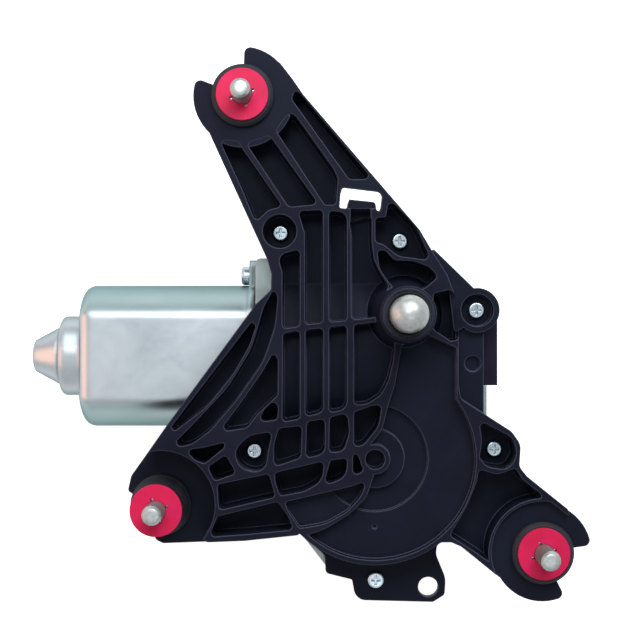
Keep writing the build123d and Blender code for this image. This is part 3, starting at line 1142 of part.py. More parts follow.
def shaft_seal():
    """Rubber lip ring in the mouth of the tube."""
    lip = SHAFT_HEAD_R + RUNNING
    low, high = SHAFT_STEP_Z + SEAL_SEAT, RIM_Z - SEAL_SINK
    profile = [(lip, low), (TUBE_BORE_R, low), (TUBE_BORE_R, high), (lip + SEAL_LIP, high),
               (lip, high - GROOVE)]
    return turned(profile, 0, 0)


def circuit_board():
    """Board in the back of the case with its tongue towards the connector."""
    plan = Pos(WHEEL_X, WHEEL_Y) * (Circle(DRUM_IN_R - BOARD_GAP) - Circle(AXLE_BOSS_R + 2 * BOARD_GAP))
    plan &= patch(*BOARD_X, *BOARD_Y)
    plan += patch(BAY_LEFT_X + WALL + BOARD_GAP, BAY_RIGHT_X - WALL - BOARD_GAP, *BOARD_TONGUE_Y)
    return prism(plan, BOARD_Z, BOARD_Z + BOARD_THICK)


def contact_springs():
    """Three bent strips that reach from the board to the contact track."""
    strips = []
    foot = BOARD_Z + BOARD_THICK
    seat = foot + STRIP
    tip = WHEEL_LOW_Z - TRACK - FREE
    under = tip - STRIP
    bend = [(-STRIP_FOOT, foot), (STRIP_FOOT, foot), (STRIP_FOOT, seat), (STRIP_BEND, seat),
            (STRIP_CONTACT, tip), (STRIP_END, tip), (STRIP_END, under),
            (STRIP_CONTACT - STRIP_ROOT + STRIP, under),
            (STRIP_BEND - STRIP_ROOT, seat), (-STRIP_FOOT, seat)]
    strip = extrude(Plane.XZ * make_face(Polyline(*bend, close=True)), STRIP_HALF, both=True)
    for radius in STRIP_RADII:
        strips.append(Pos(WHEEL_X + STRIP_X, WHEEL_Y - radius, 0) * strip)
    return Compound(children=strips)


def connector():
    """Shroud through the case wall, open to the right."""
    body = block(*CONNECTOR_X, *CONNECTOR_Y, *CONNECTOR_Z)
    body += block(HOOD_X, CONNECTOR_X[1], *CONNECTOR_Y, CONNECTOR_Z[1], CASE_TOP_Z)
    x0 = CONNECTOR_X[0] + CONNECTOR_BACK
    y0, y1 = CONNECTOR_Y[0] + CONNECTOR_WALL, CONNECTOR_Y[1] - CONNECTOR_WALL
    z0, z1 = CONNECTOR_Z[0] + CONNECTOR_WALL, CONNECTOR_Z[1] - CONNECTOR_WALL
    body -= block(x0, CONNECTOR_X[1] + OVER, y0, y1, z0, z1)
    wide, half = TERMINAL_HALF, TERMINAL_THICK / 2
    for y in TERMINAL_YS:
        body -= block(CONNECTOR_X[0] - OVER, x0 + OVER, y - wide, y + wide,
                      TERMINAL_Z - half, TERMINAL_Z + half)
    return body


def terminals():
    """Four blades that run from the shroud down to the board."""
    blades = []
    low = BOARD_Z + BOARD_THICK
    wide, half = TERMINAL_HALF, TERMINAL_THICK / 2
    for y in TERMINAL_YS:
        blade = block(TERMINAL_X, TERMINAL_TIP_X, y - wide, y + wide, TERMINAL_Z - half, TERMINAL_Z + half)
        leg = block(TERMINAL_X, TERMINAL_X + TERMINAL_THICK, y - wide, y + wide, low, TERMINAL_Z)
        blades.append(blade + leg)
    return Compound(children=blades)


def grommets():
    """Three rubber mounts, each with a flange on either side of its fork plate."""
    mounts = []
    for x, y, top, _ in MOUNTS:
        low = top - FORK_PLATE
        foot, head = low - GROMMET_FLANGE, top + GROMMET_FLANGE
        edge = GROMMET_FLANGE_R - GROMMET_EDGE
        profile = [(SLEEVE_R, foot), (edge, foot), (GROMMET_FLANGE_R, foot + GROMMET_EDGE),
                   (GROMMET_FLANGE_R, low), (GROMMET_NECK_R, low), (GROMMET_NECK_R, top),
                   (GROMMET_FLANGE_R, top),
                   (GROMMET_FLANGE_R, head - GROMMET_EDGE), (edge, head), (SLEEVE_R, head)]
        mounts.append(turned(profile, x, y))
    return Compound(children=mounts)


def sleeves():
    """Steel spacer tubes inside the mounts."""
    return Compound(children=[
        ring(x, y, top - FORK_PLATE - GROMMET_FLANGE, disc - SLEEVE_SINK, SLEEVE_R, SLEEVE_BORE_R)
        for x, y, top, disc in MOUNTS
    ])


def tall_collar():
    """Rubber collar that raises the disc over the low fork."""
    x, y, top, disc = LEFT_MOUNT
    low = top + GROMMET_FLANGE
    profile = [(SLEEVE_R, low), (COLLAR_FOOT_R, low), (COLLAR_R, low + COLLAR_TAPER),
               (COLLAR_R, disc - COLLAR_EDGE), (COLLAR_R - COLLAR_EDGE, disc), (SLEEVE_R, disc)]
    return turned(profile, x, y)


def retaining_discs():
    """Push-on discs with four notches round the stud hole."""
    discs = []
    for x, y, _, low in MOUNTS:
        plan = Circle(DISC_R) - Circle(STUD_R + DISC_FIT)
        for i in range(DISC_NOTCHES):
            turn = 360 * i / DISC_NOTCHES + DISC_NOTCH_TURN
            plan -= Rot(0, 0, turn) * Pos(STUD_R, 0) * Rectangle(*DISC_NOTCH)
        discs.append(prism(Pos(x, y) * plan, low, low + DISC_THICK))
    return Compound(children=discs)


def studs():
    """Bright steel studs with a domed tip and a flat head under each mount."""
    bolts = []
    for x, y, top, disc in MOUNTS:
        low = top - FORK_PLATE - GROMMET_FLANGE
        neck = disc + DISC_THICK + SIDE_PLAY
        bed = STUD_R - GROOVE_DEPTH
        profile = [(0, low - STUD_HEAD), (STUD_HEAD_R, low - STUD_HEAD), (STUD_HEAD_R, low), (STUD_R, low),
                   (STUD_R, neck), (bed, neck), (bed, neck + GROOVE), (STUD_R, neck + GROOVE),
                   (STUD_R, STUD_TIP_Z - STUD_CHAMFER), (STUD_TIP_R[0], STUD_TIP_Z - STUD_TIP_RISE),
                   (STUD_TIP_R[1], STUD_TIP_Z), (0, STUD_TIP_Z)]
        bolts.append(turned(profile, x, y))
    return Compound(children=bolts)


PIECES = {
    "bracket": bracket,
    "gear_case": gear_case,
    "case_seal": case_seal,
    "motor_can": motor_can,
    "end_cap": end_cap,
    "motor_gasket": motor_gasket,
    "motor_screws": motor_screws,
    "cover_screws": cover_screws,
    "magnets": magnets,
    "armature_core": armature_core,
    "windings": windings,
    "commutator": commutator,
    "armature_shaft": armature_shaft,
    "rear_bearing": rear_bearing,
    "mid_bearing": mid_bearing,
    "end_bearing": end_bearing,
    "thrust_screw": thrust_screw,
    "thrust_pad": thrust_pad,
    "brush_holder": brush_holder,
    "brushes": brushes,
    "brush_springs": brush_springs,
    "worm_wheel": worm_wheel,
    "wheel_axle": wheel_axle,
    "axle_clip": axle_clip,
    "contact_ring": contact_ring,
    "crank_pin": crank_pin,
    "connecting_rod": connecting_rod,
    "rocker_lever": rocker_lever,
    "rocker_pin": rocker_pin,
    "output_shaft": output_shaft,
    "shaft_bushes": shaft_bushes,
    "thrust_washer": thrust_washer,
    "shaft_seal": shaft_seal,
    "circuit_board": circuit_board,
    "contact_springs": contact_springs,
    "connector": connector,
    "terminals": terminals,
    "grommets": grommets,
    "sleeves": sleeves,
    "tall_collar": tall_collar,
    "retaining_discs": retaining_discs,
    "studs": studs,
}


def main():
    os.makedirs("parts", exist_ok=True)
    for name, make in PIECES.items():
        export_step(make(), f"parts/{name}.step")


main()
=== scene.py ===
import json
import math

import bpy
import numpy as np
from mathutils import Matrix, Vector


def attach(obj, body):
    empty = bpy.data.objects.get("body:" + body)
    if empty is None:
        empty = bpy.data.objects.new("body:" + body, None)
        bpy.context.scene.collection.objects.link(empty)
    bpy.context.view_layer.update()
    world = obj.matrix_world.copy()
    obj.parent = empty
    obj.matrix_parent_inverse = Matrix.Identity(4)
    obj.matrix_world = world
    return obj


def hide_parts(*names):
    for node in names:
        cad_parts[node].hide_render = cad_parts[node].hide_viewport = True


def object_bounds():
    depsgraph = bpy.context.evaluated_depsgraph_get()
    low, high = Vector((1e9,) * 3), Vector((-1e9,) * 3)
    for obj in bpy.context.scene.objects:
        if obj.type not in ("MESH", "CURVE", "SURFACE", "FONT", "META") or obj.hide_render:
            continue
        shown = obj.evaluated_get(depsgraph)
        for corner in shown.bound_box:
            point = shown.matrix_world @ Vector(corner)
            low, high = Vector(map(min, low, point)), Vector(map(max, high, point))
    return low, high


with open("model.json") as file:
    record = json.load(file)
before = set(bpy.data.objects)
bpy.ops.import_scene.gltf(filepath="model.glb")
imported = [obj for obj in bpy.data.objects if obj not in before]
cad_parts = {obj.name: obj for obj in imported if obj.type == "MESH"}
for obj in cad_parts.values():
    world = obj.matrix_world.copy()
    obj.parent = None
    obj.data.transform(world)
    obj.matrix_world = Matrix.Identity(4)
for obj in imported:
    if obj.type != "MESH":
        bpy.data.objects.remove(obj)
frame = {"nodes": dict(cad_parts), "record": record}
cad_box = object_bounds()
nodes = frame["nodes"]

# Sizes and places in millimetres, heights from the mouth of the shaft tube
MM = 0.001
mounts = {mount["name"]: np.array(mount["pos_m"]) / MM for mount in frame["record"]["mounts"]}
joints = {joint["name"]: np.array(joint["pos_m"]) / MM for joint in frame["record"]["behaviour"]["joints"]}
MOTOR_AXIS_Y = joints["armature_spin"][1]
CAN_FLAT_HALF = 18.0
# Painted reflection: the can's round sides turn darker and greener between these two distances off the
# motor's axis, beyond the flats
SIDE_REFLECTION_FROM = CAN_FLAT_HALF - 0.5
SIDE_REFLECTION_FULL = CAN_FLAT_HALF + 3.0
RIB_TOP_Z = -24.0

# Studs: each one's mount, the level of its head's seat and that of its disc's underside
STUDS = [("stud_top", -33.0, -18.4), ("stud_left", -49.0, -18.4), ("stud_right", -35.5, -20.9)]
STUD_R = 3.96
STUD_ROOT_R = 4.3
STUD_SEGMENTS = 48
HEAD_R = 9.0
HEAD_FACE_R = 8.6
HEAD_THICK = 3.0
HEAD_CHAMFER = 0.3
NECK_ABOVE_DISC = 0.2
THREAD_ABOVE_DISC = 1.2
THREAD_END_Z = -4.2
THREAD_PITCH = 1.25
THREAD_ROWS = 8
THREAD_DEPTH = 0.10
THREAD_RUN_IN = 1.5

# The turned end of a stud, from its last thread to the middle of its tip: heights from the tip, and radii
STUD_TIP_Z = -2.4
STUD_END = [(-1.6, 3.94), (-1.0, 3.80), (-0.5, 3.05), (-0.12, 2.92), (0.0, 2.75), (0.0, 1.2), (0.0, 0.0)]

# Top fork: the wall that closes its side, and the hair of plastic under its edge, both round its mount
SKIRT_R = (18.0, 20.6)
SKIRT_Z = (-42.4, -24.05)
SKIRT_DEGREES = (-120.0, -22.0)
SKIRT_STEPS = 61
HAIR_R = (19.7, 20.0)
HAIR_DEGREES = (42.6, 45.4)
FORK_UNDER_Z = -29.0


# Shader expressions
class Value:
    """A node's output socket; arithmetic on it adds Math nodes to its node tree."""

    def __init__(self, graph, socket):
        self.graph = graph
        self.socket = socket

    def math(self, operation, first, second=0.5, clamp=False):
        """Math node on two values; an operation on one value leaves the second unused."""
        settings = {"operation": operation, "use_clamp": clamp}
        return self.graph.node("ShaderNodeMath", settings, {0: first, 1: second})

    def __add__(self, other):
        return self.math("ADD", self, other)

    def __radd__(self, other):
        return self.math("ADD", other, self)

    def __sub__(self, other):
        return self.math("SUBTRACT", self, other)

    def __rsub__(self, other):
        return self.math("SUBTRACT", other, self)

    def __mul__(self, other):
        return self.math("MULTIPLY", self, other)

    def __rmul__(self, other):
        return self.math("MULTIPLY", other, self)

    def held(self):
        """Kept between 0 and 1."""
        return self.math("MULTIPLY", self, 1.0, clamp=True)


class Graph:
    """Node tree of a material or of the world."""

    def __init__(self, tree):
        self.tree = tree

    def node(self, kind, settings=None, inputs=None, out=0):
        """Any node: its settings first, then the values or links of its sockets."""
        made = self.tree.nodes.new(kind)
        for key, value in (settings or {}).items():
            setattr(made, key, value)
        for key, value in (inputs or {}).items():
            if isinstance(value, Value):
                self.tree.links.new(value.socket, made.inputs[key])
            elif isinstance(value, tuple) and len(value) == 3 and len(made.inputs[key].default_value) == 4:
                made.inputs[key].default_value = (*value, 1.0)
            else:
                made.inputs[key].default_value = value
        return Value(self, made.outputs[out])

    def between(self, value, low, high, to_low=0.0, to_high=1.0):
        """Maps one range of a value on another and stops at its ends."""
        return self.node("ShaderNodeMapRange", {"clamp": True}, {
            "Value": value, "From Min": low, "From Max": high, "To Min": to_low, "To Max": to_high})


class Paint(Graph):
    """One procedural material on Object coordinates, which are in metres."""

    BEVEL_SAMPLES = 6
    EDGE_GAIN = 6.0

    def __init__(self, name):
        self.material = bpy.data.materials.new(name)
        self.material.use_nodes = True
        super().__init__(self.material.node_tree)
        self.tree.nodes.clear()
        self.place = self.node("ShaderNodeTexCoord", out="Object")

    def noise(self, scale, detail, rough, stretch=None, distortion=0.0):
        """Soft noise of about one blotch per 1/scale metres, drawn out where an axis has a low stretch."""
        place = self.place
        if stretch:
            place = self.node("ShaderNodeMapping", inputs={"Vector": place, "Scale": stretch})
        return self.node("ShaderNodeTexNoise", inputs={
            "Vector": place, "Scale": scale, "Detail": detail, "Roughness": rough, "Distortion": distortion})

    def blend(self, mask, first, second):
        """Mixes two colours by a mask. The sockets go by number, because their names repeat."""
        return self.node("ShaderNodeMix", {"data_type": "RGBA"}, {0: mask, 6: first, 7: second}, 2)

    def off_axis(self, axis, level):
        """Distance in metres from a level along one axis, on either side of it."""
        off = self.node("ShaderNodeSeparateXYZ", inputs={0: self.place}, out=axis) - level
        return off.math("ABSOLUTE", off)

    def round_normal(self, radius):
        """Normal with the sharp edges seen as if rounded by a radius in metres."""
        return self.node("ShaderNodeBevel", {"samples": self.BEVEL_SAMPLES}, {"Radius": radius})

    def edges(self, rounded):
        """Mask that rises from 0 to 1 where the rounded normal leaves the true one."""
        true = self.node("ShaderNodeNewGeometry", out="True Normal")
        same = self.node("ShaderNodeVectorMath", {"operation": "DOT_PRODUCT"}, {0: rounded, 1: true}, "Value")
        return ((1.0 - same) * self.EDGE_GAIN).held()

    def bump(self, height, distance, strength, normal=None):
        """Small relief, in which a height of 1 stands for one distance, in metres."""
        inputs = {"Height": height, "Distance": distance, "Strength": strength}
        if normal is not None:
            inputs["Normal"] = normal
        return self.node("ShaderNodeBump", inputs=inputs)

    def finish(self, **sockets):
        """Joins the values to a Principled shader; the underscores in a name stand for spaces."""
        values = {key.replace("_", " "): value for key, value in sockets.items()}
        shader = self.node("ShaderNodeBsdfPrincipled", inputs=values)
        output = self.tree.nodes.new("ShaderNodeOutputMaterial")
        self.tree.links.new(shader.socket, output.inputs["Surface"])
        return self.material


# Finishes
def moulded_nylon():
    """Black glass-filled nylon: blue sheen, cloudy flow marks, fine grain, and a highlight painted paler and
    bluer along the edges.
    """
    deep = (0.0058, 0.0074, 0.0146)
    clouded = (0.0088, 0.0108, 0.0208)
    painted_edge_highlight = (0.094, 0.102, 0.158)
    glass_speck = (0.06, 0.064, 0.095)
    p = Paint("black_nylon")
    rounded = p.round_normal(0.0008)
    cloud = p.noise(38.0, 4.0, 0.55, distortion=0.6)
    grain = p.noise(1900.0, 2.0, 0.6)
    fibres = p.noise(520.0, 2.0, 0.5, stretch=(1.0, 0.22, 1.0))
    base = p.blend(p.between(cloud, 0.35, 0.68), deep, clouded)
    # Painted highlight: the colour goes paler and bluer where the edges round off.
    base = p.blend(p.edges(rounded) * 0.85, base, painted_edge_highlight)
    base = p.blend(p.between(grain, 0.70, 0.78) * 0.3, base, glass_speck)
    rough = 0.36 + p.between(cloud, 0.3, 0.7) * 0.08 + fibres * 0.08
    normal = p.bump(grain * 0.6 + fibres * 0.4, 0.00006, 0.5, rounded)
    return p.finish(Base_Color=base, Roughness=rough, Normal=normal, Specular_IOR_Level=0.06,
                    Specular_Tint=(0.80, 0.86, 1.0))


def plated_steel():
    """Zinc plated drawn steel: soft spangle, faint drawing lines and clouds, and a darker, greener reflection
    painted on the round sides.
    """
    dull_zinc = (0.342, 0.380, 0.414)
    bright_zinc = (0.386, 0.418, 0.450)
    spangle_tint = (0.36, 0.44, 0.44)
    painted_side_reflection = (0.255, 0.345, 0.352)
    p = Paint("zinc_steel")
    rounded = p.round_normal(0.0034)
    cloud = p.noise(45.0, 3.0, 0.5, distortion=0.8)
    spangle = p.noise(420.0, 4.0, 0.65)
    lines = p.noise(900.0, 2.0, 0.6, stretch=(0.04, 1.0, 1.0))
    base = p.blend(p.between(cloud, 0.35, 0.65), dull_zinc, bright_zinc)
    base = p.blend(p.between(spangle, 0.4, 0.75) * 0.35, base, spangle_tint)
    # Painted reflection: the round sides, beyond the flats, turn darker and greener in mottled clouds.
    off_motor_axis = p.off_axis("Y", MOTOR_AXIS_Y * MM)
    side = p.between(off_motor_axis, SIDE_REFLECTION_FROM * MM, SIDE_REFLECTION_FULL * MM)
    base = p.blend(side * (0.55 + cloud * 0.7).held(), base, painted_side_reflection)
    rough = 0.24 + p.between(cloud, 0.3, 0.7) * 0.08 + spangle * 0.10
    normal = p.bump(spangle * 0.5 + lines * 0.5, 0.00004, 0.35, rounded)
    return p.finish(Base_Color=base, Metallic=1.0, Roughness=rough, Normal=normal,
                    Specular_Tint=(0.34, 0.46, 0.46))


def turned_steel():
    """Bright turned steel with fine rings and small dull spots."""
    bright = (0.36, 0.385, 0.39)
    dull_spot = (0.27, 0.30, 0.295)
    p = Paint("bright_steel")
    rounded = p.round_normal(0.0003)
    rings = p.noise(2600.0, 2.0, 0.6, stretch=(0.05, 0.05, 1.0))
    spots = p.noise(700.0, 3.0, 0.6)
    base = p.blend(p.between(spots, 0.45, 0.7), bright, dull_spot)
    rough = 0.34 + p.between(spots, 0.4, 0.7) * 0.12
    normal = p.bump(rings * 0.6 + spots * 0.4, 0.00003, 0.4, rounded)
    return p.finish(Base_Color=base, Metallic=0.72, Roughness=rough, Normal=normal,
                    Specular_Tint=(0.45, 0.48, 0.42))


def plain_steel():
    """Ground or stamped steel with scratches in two directions."""
    clean = (0.40, 0.48, 0.53)
    stained = (0.26, 0.31, 0.35)
    p = Paint("plain_steel")
    rounded = p.round_normal(0.0003)
    along = p.noise(1500.0, 2.0, 0.6, stretch=(0.06, 1.0, 1.0))
    across = p.noise(1500.0, 2.0, 0.6, stretch=(1.0, 0.06, 1.0))
    stain = p.noise(160.0, 3.0, 0.5)
    base = p.blend(p.between(stain, 0.35, 0.7), clean, stained)
    rough = 0.18 + stain * 0.16
    normal = p.bump(along * 0.5 + across * 0.5, 0.00003, 0.4, rounded)
    return p.finish(Base_Color=base, Metallic=1.0, Roughness=rough, Normal=normal)


def mount_rubber():
    """Black rubber: matt, with bloom, fine pits and a highlight painted paler along the edges."""
    black = (0.0070, 0.0078, 0.0120)
    bloomed = (0.0150, 0.0165, 0.0235)
    painted_edge_highlight = (0.040, 0.044, 0.060)
    p = Paint("black_rubber")
    rounded = p.round_normal(0.0007)
    bloom = p.noise(90.0, 3.0, 0.6)
    pits = p.noise(2400.0, 2.0, 0.5)
    base = p.blend(p.between(bloom, 0.35, 0.7), black, bloomed)
    # Painted highlight: the colour goes paler where the edges round off.
    base = p.blend(p.edges(rounded) * 0.4, base, painted_edge_highlight)
    rough = 0.55 + bloom * 0.2
    normal = p.bump(pits, 0.00005, 0.5, rounded)
    return p.finish(Base_Color=base, Roughness=rough, Normal=normal, Specular_IOR_Level=0.26)


def red_plastic():
    """Red moulded disc with a faint pink bloom and fine grain."""
    red = (0.54, 0.003, 0.056)
    pink = (0.63, 0.006, 0.090)
    p = Paint("red_plastic")
    rounded = p.round_normal(0.0003)
    bloom = p.noise(140.0, 3.0, 0.5)
    grain = p.noise(2200.0, 2.0, 0.5)
    base = p.blend(p.between(bloom, 0.35, 0.7), red, pink)
    rough = 0.48 + bloom * 0.14
    normal = p.bump(grain, 0.00004, 0.4, rounded)
    return p.finish(Base_Color=base, Roughness=rough, Normal=normal, Specular_IOR_Level=0.28)


def cast_metal():
    """Die-cast alloy: grey and slightly granular, with darker patches where it flowed and bright edges."""
    grey = (0.27, 0.325, 0.33)
    flow_patch = (0.20, 0.24, 0.245)
    pale_edge = (0.55, 0.57, 0.58)
    p = Paint("die_cast")
    rounded = p.round_normal(0.0008)
    flow = p.noise(60.0, 4.0, 0.6, distortion=1.2)
    grain = p.noise(1400.0, 3.0, 0.6)
    base = p.blend(p.between(flow, 0.35, 0.7), grey, flow_patch)
    # Paler where the edges round off.
    base = p.blend(p.edges(rounded) * 0.5, base, pale_edge)
    rough = 0.46 + flow * 0.14
    normal = p.bump(grain, 0.00009, 0.5, rounded)
    return p.finish(Base_Color=base, Metallic=0.85, Roughness=rough, Normal=normal)


def smooth_plastic(name, dark, light, smoothest, gloss=0.5, sheen=(1.0, 1.0, 1.0)):
    """Plain moulded plastic with a faint orange peel and cloudiness."""
    p = Paint(name)
    rounded = p.round_normal(0.0004)
    cloud = p.noise(70.0, 3.0, 0.5)
    peel = p.noise(900.0, 2.0, 0.5)
    base = p.blend(p.between(cloud, 0.3, 0.7), dark, light)
    rough = smoothest + cloud * 0.12
    normal = p.bump(peel, 0.00005, 0.4, rounded)
    return p.finish(Base_Color=base, Roughness=rough, Normal=normal, Specular_IOR_Level=gloss,
                    Specular_Tint=sheen)


def soft_metal(name, dark, light, smoothest):
    """Copper or bronze with brown tarnish and drawing lines."""
    p = Paint(name)
    rounded = p.round_normal(0.0003)
    tarnish = p.noise(130.0, 4.0, 0.6)
    lines = p.noise(1300.0, 2.0, 0.6, stretch=(0.08, 1.0, 1.0))
    base = p.blend(p.between(tarnish, 0.35, 0.7), light, dark)
    rough = smoothest + tarnish * 0.2
    normal = p.bump(lines, 0.00004, 0.4, rounded)
    return p.finish(Base_Color=base, Metallic=1.0, Roughness=rough, Normal=normal)


def ground_ferrite():
    """Dark ceramic magnet or carbon with pores and grinding marks."""
    dark = (0.035, 0.036, 0.040)
    ground = (0.075, 0.075, 0.080)
    p = Paint("ferrite")
    rounded = p.round_normal(0.0003)
    pores = p.node("ShaderNodeTexVoronoi", inputs={"Vector": p.place, "Scale": 1100.0}, out="Distance")
    marks = p.noise(1200.0, 2.0, 0.6, stretch=(0.05, 1.0, 1.0))
    base = p.blend(p.between(marks, 0.3, 0.7), dark, ground)
    rough = 0.5 + marks * 0.2
    normal = p.bump(p.between(pores, 0.0, 0.35), 0.00006, 0.5, rounded)
    return p.finish(Base_Color=base, Metallic=0.3, Roughness=rough, Normal=normal)


def lacquered_board():
    """Green board: paler copper lanes show through the lacquer."""
    green = (0.010, 0.075, 0.028)
    lane_green = (0.030, 0.150, 0.055)
    p = Paint("board_green")
    lanes = p.node("ShaderNodeTexWave", {"bands_direction": "DIAGONAL"}, {
        "Vector": p.place, "Scale": 70.0, "Distortion": 9.0, "Detail": 1.0, "Detail Scale": 0.6}, "Fac")
    weave = p.noise(1600.0, 2.0, 0.5)
    lane = p.between(lanes, 0.42, 0.5)
    base = p.blend(lane, green, lane_green)
    rough = 0.32 + weave * 0.1
    normal = p.bump(lane + weave * 0.2, 0.00005, 0.5)
    return p.finish(Base_Color=base, Roughness=rough, Normal=normal)


finishes = {
    "black_nylon": moulded_nylon(),
    "zinc_steel": plated_steel(),
    "bright_steel": turned_steel(),
    "plain_steel": plain_steel(),
    "black_rubber": mount_rubber(),
    "red_plastic": red_plastic(),
    "die_cast": cast_metal(),
    "gear_plastic": smooth_plastic("gear_plastic", (0.66, 0.64, 0.56), (0.74, 0.72, 0.65), 0.34),
    "black_plastic": smooth_plastic("black_plastic", (0.006, 0.005, 0.012), (0.012, 0.010, 0.022), 0.40,
                                    gloss=0.12, sheen=(0.78, 0.74, 1.0)),
    "copper": soft_metal("copper", (0.40, 0.17, 0.08), (0.72, 0.36, 0.20), 0.24),
    "bronze": soft_metal("bronze", (0.33, 0.20, 0.08), (0.58, 0.40, 0.19), 0.38),
    "ferrite": ground_ferrite(),
    "board_green": lacquered_board(),
}
for part in frame["record"]["subparts"]:
    mesh = nodes[part["node"]].data
    mesh.materials.clear()
    mesh.materials.append(finishes[part["material_slot"]])


# Surfaces
def placed(name, data):
    """New object of the scene, at the origin."""
    piece = bpy.data.objects.new(name, data)
    bpy.context.scene.collection.objects.link(piece)
    return piece


def surface(name, grids, body, slot, smooth=True):
    """One mesh from grids of points (rows, columns, xyz), each closed round its columns: every point makes a
    face with the next of its row and the two above them."""
    points, faces, start = [], [], 0
    for grid in grids:
        rows, columns = grid.shape[:2]
        index = start + np.arange(rows * columns).reshape(rows, columns)
        ahead = np.roll(index, -1, axis=1)
        faces.append(np.stack([index[:-1], ahead[:-1], ahead[1:], index[1:]], axis=-1).reshape(-1, 4))
        points.append(grid.reshape(-1, 3))
        start += rows * columns
    mesh = bpy.data.meshes.new(name)
    mesh.from_pydata(np.concatenate(points).tolist(), [], np.concatenate(faces).tolist())
    mesh.polygons.foreach_set("use_smooth", np.full(len(mesh.polygons), smooth))
    mesh.update()
    mesh.materials.append(finishes[slot])
    piece = placed(name, mesh)
    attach(piece, body)
    return piece


def around(mount, radius, angle, height):
    """Points in metres at a radius and an angle round a mount, and at a height."""
    x, y = mounts[mount][:2]
    places = np.broadcast_arrays(x + radius * np.cos(angle), y + radius * np.sin(angle), height)
    return np.stack(places, axis=-1) * MM


def threaded_stud(mount, seat, disc):
    """Stud turned from a profile of heights and radii. Along its thread the radius falls by a triangle wave
    of height over pitch less angle over a full turn, and the wave grows from nothing over the run-in."""
    bottom = seat - HEAD_THICK
    head = [(bottom, 0.0), (bottom, HEAD_FACE_R), (bottom + HEAD_CHAMFER, HEAD_R),
            (seat - HEAD_CHAMFER, HEAD_R), (seat, HEAD_FACE_R), (seat, STUD_ROOT_R)]
    neck = [(seat, STUD_R), (disc + NECK_ABOVE_DISC, STUD_R)]
    threads = np.arange(disc + THREAD_ABOVE_DISC, THREAD_END_Z, THREAD_PITCH / THREAD_ROWS)
    shank = np.stack([threads, np.full(len(threads), STUD_R)], axis=-1)
    end = np.add(STUD_END, (STUD_TIP_Z, 0.0))
    profile = np.concatenate([head, neck, shank, end])
    heights, radii = profile[:, :1], profile[:, 1:]
    cut = np.clip((heights - threads[0]) / THREAD_RUN_IN, 0.0, 1.0) * (heights <= threads[-1])
    angle = np.linspace(0.0, 2.0 * np.pi, STUD_SEGMENTS, endpoint=False)
    phase = (heights / THREAD_PITCH - angle / (2.0 * np.pi)) % 1.0
    radius = radii - THREAD_DEPTH * cut * np.abs(2.0 * phase - 1.0)
    return around(mount, radius, angle, heights)


def curved_wall(mount, radii, levels, degrees, steps):
    """Wall round a mount: a rectangle of two radii and two levels carried along an arc, its ends closed."""
    angle = np.radians(np.linspace(*degrees, steps))
    angle = np.concatenate([angle[:1], angle, angle[-1:]])[:, None]
    radius = np.tile(np.take(radii, [0, 0, 1, 1]), (len(angle), 1))
    height = np.tile(np.take(levels, [0, 1, 1, 0]), (len(angle), 1))
    radius[[0, -1]] = np.mean(radii)
    height[[0, -1]] = np.mean(levels)
    return around(mount, radius, angle, height)


def within(values, limits):
    """True for each value between the two limits."""
    return (values > limits[0]) & (values < limits[1])


def trimmed_bracket(mount, radii, degrees, level):
    """Bracket without the hair under its top fork: the hair's points, found by their radius and angle round
    the mount, go up to the level of the fork's underside."""
    mesh = nodes["bracket"].data.copy()
    points = np.empty(3 * len(mesh.vertices))
    mesh.vertices.foreach_get("co", points)
    points = points.reshape(-1, 3)
    away = points[:, :2] / MM - mounts[mount][:2]
    radius = np.hypot(away[:, 0], away[:, 1])
    angle = np.degrees(np.arctan2(away[:, 1], away[:, 0]))
    hair = within(radius, radii) & within(angle, degrees) & (points[:, 2] < level * MM)
    points[hair, 2] = level * MM
    mesh.vertices.foreach_set("co", points.ravel())
    mesh.update()
    piece = placed("bracket_trimmed", mesh)
    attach(piece, "housing")
    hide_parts("bracket")


stud_piece = surface("threaded_studs", [threaded_stud(*stud) for stud in STUDS], "housing", "bright_steel")
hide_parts("studs")
trimmed_bracket("stud_top", HAIR_R, HAIR_DEGREES, FORK_UNDER_Z)
skirt = curved_wall("stud_top", SKIRT_R, SKIRT_Z, SKIRT_DEGREES, SKIRT_STEPS)
surface("fork_skirt", [skirt], "housing", "black_nylon", smooth=False)


# Stage, in metres
WHITE = (1.0, 1.0, 1.0)
FLOOR_COLOUR = (0.75, 0.75, 0.76)
FLOOR_HALF = 6.0
FLOOR_GAP = 0.0002
AIM = (-0.03, 0.0, -0.03)


def lit_white(graph, lighting, seen):
    """Strength of a white that camera, glossy and transmitted rays see at one level, and that lights the
    motor at another."""
    rays = graph.node("ShaderNodeLightPath", out="Is Camera Ray")
    for kind in ("Is Glossy Ray", "Is Transmission Ray"):
        rays = rays.math("MAXIMUM", rays, graph.node("ShaderNodeLightPath", out=kind))
    return graph.between(rays, 0.0, 1.0, lighting, seen)


def sky():
    """White surroundings, which light the motor at a lower level than they show."""
    world = bpy.data.worlds.new("studio")
    bpy.context.scene.world = world
    world.use_nodes = True
    background = world.node_tree.nodes["Background"]
    background.inputs["Color"].default_value = (*WHITE, 1.0)
    strength = lit_white(Graph(world.node_tree), lighting=0.18, seen=1.0)
    world.node_tree.links.new(strength.socket, background.inputs["Strength"])


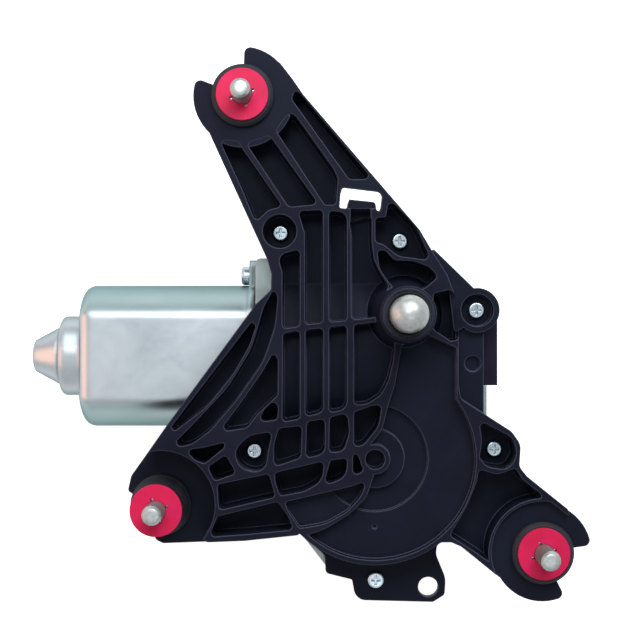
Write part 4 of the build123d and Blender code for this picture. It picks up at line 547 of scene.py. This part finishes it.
def floor():
    """Wide pale floor just under the lowest point of the motor."""
    level = cad_box[0][2] - FLOOR_GAP
    corners = [(-FLOOR_HALF, -FLOOR_HALF, level), (FLOOR_HALF, -FLOOR_HALF, level),
               (FLOOR_HALF, FLOOR_HALF, level), (-FLOOR_HALF, FLOOR_HALF, level)]
    mesh = bpy.data.meshes.new("floor")
    mesh.from_pydata(corners, [], [(0, 1, 2, 3)])
    p = Paint("floor_white")
    strength = lit_white(p, lighting=0.0, seen=0.82)
    mesh.materials.append(p.finish(Base_Color=FLOOR_COLOUR, Roughness=0.9, Specular_IOR_Level=0.0,
                                   Emission_Color=WHITE, Emission_Strength=strength))
    ground = placed("floor", mesh)


def lamp(name, place, size, power, colour, target=AIM):
    """Soft lamp, as wide and high as its size says, that faces the target."""
    light = bpy.data.lights.new(name, "AREA")
    light.shape = "RECTANGLE"
    light.size, light.size_y = size
    light.energy = power
    light.color = colour
    piece = placed(name, light)
    piece.location = place
    away = np.array(place) - np.array(target)
    away = away / np.linalg.norm(away)
    yaw = math.atan2(away[1], away[0]) + math.pi / 2
    piece.rotation_euler = (math.acos(away[2]), 0.0, yaw)


sky()
floor()
lamp("key", (0.26, 0.56, 0.60), (0.42, 0.34), 4.8, (1.0, 0.99, 0.98))
lamp("strip", (-0.06, 0.46, 0.34), (0.60, 0.36), 1.5, (0.93, 0.98, 1.0), (-0.08, -0.01, -0.05))
lamp("warm", (-0.60, -0.01, 0.20), (0.46, 0.46), 1.35, (1.0, 0.44, 0.24), (-0.14, -0.02, -0.06))
lamp("far", (-0.10, 0.25, 0.62), (0.26, 0.16), 1.5, (0.90, 0.95, 1.0), (-0.07, 0.09, -0.02))
lamp("low", (0.06, -0.25, 0.58), (0.34, 0.14), 0.30, (0.92, 0.95, 1.0), (0.02, -0.10, -0.04))
lamp("pad", (-0.17, -0.155, 0.576), (0.08, 0.05), 0.04, (0.92, 0.94, 1.0), (-0.10, -0.08, -0.05))

# Camera: it looks straight down, and its view is this wide where the ribs end, all in millimetres
CAMERA_X = -34.06
CAMERA_Y = -2.24
CAMERA_ABOVE_RIBS = 600.0
VIEW_WIDTH = 256.0
SENSOR_WIDTH = 36.0
CLIP_END = 20000.0
camera = bpy.data.cameras.new("camera")
camera.sensor_width = SENSOR_WIDTH
camera.lens = SENSOR_WIDTH * CAMERA_ABOVE_RIBS / VIEW_WIDTH
camera.clip_end = CLIP_END * MM
viewer = placed("camera", camera)
viewer.location = (CAMERA_X * MM, CAMERA_Y * MM, (RIB_TOP_Z + CAMERA_ABOVE_RIBS) * MM)
bpy.context.scene.camera = viewer
bpy.context.scene.view_settings.view_transform = "Standard"
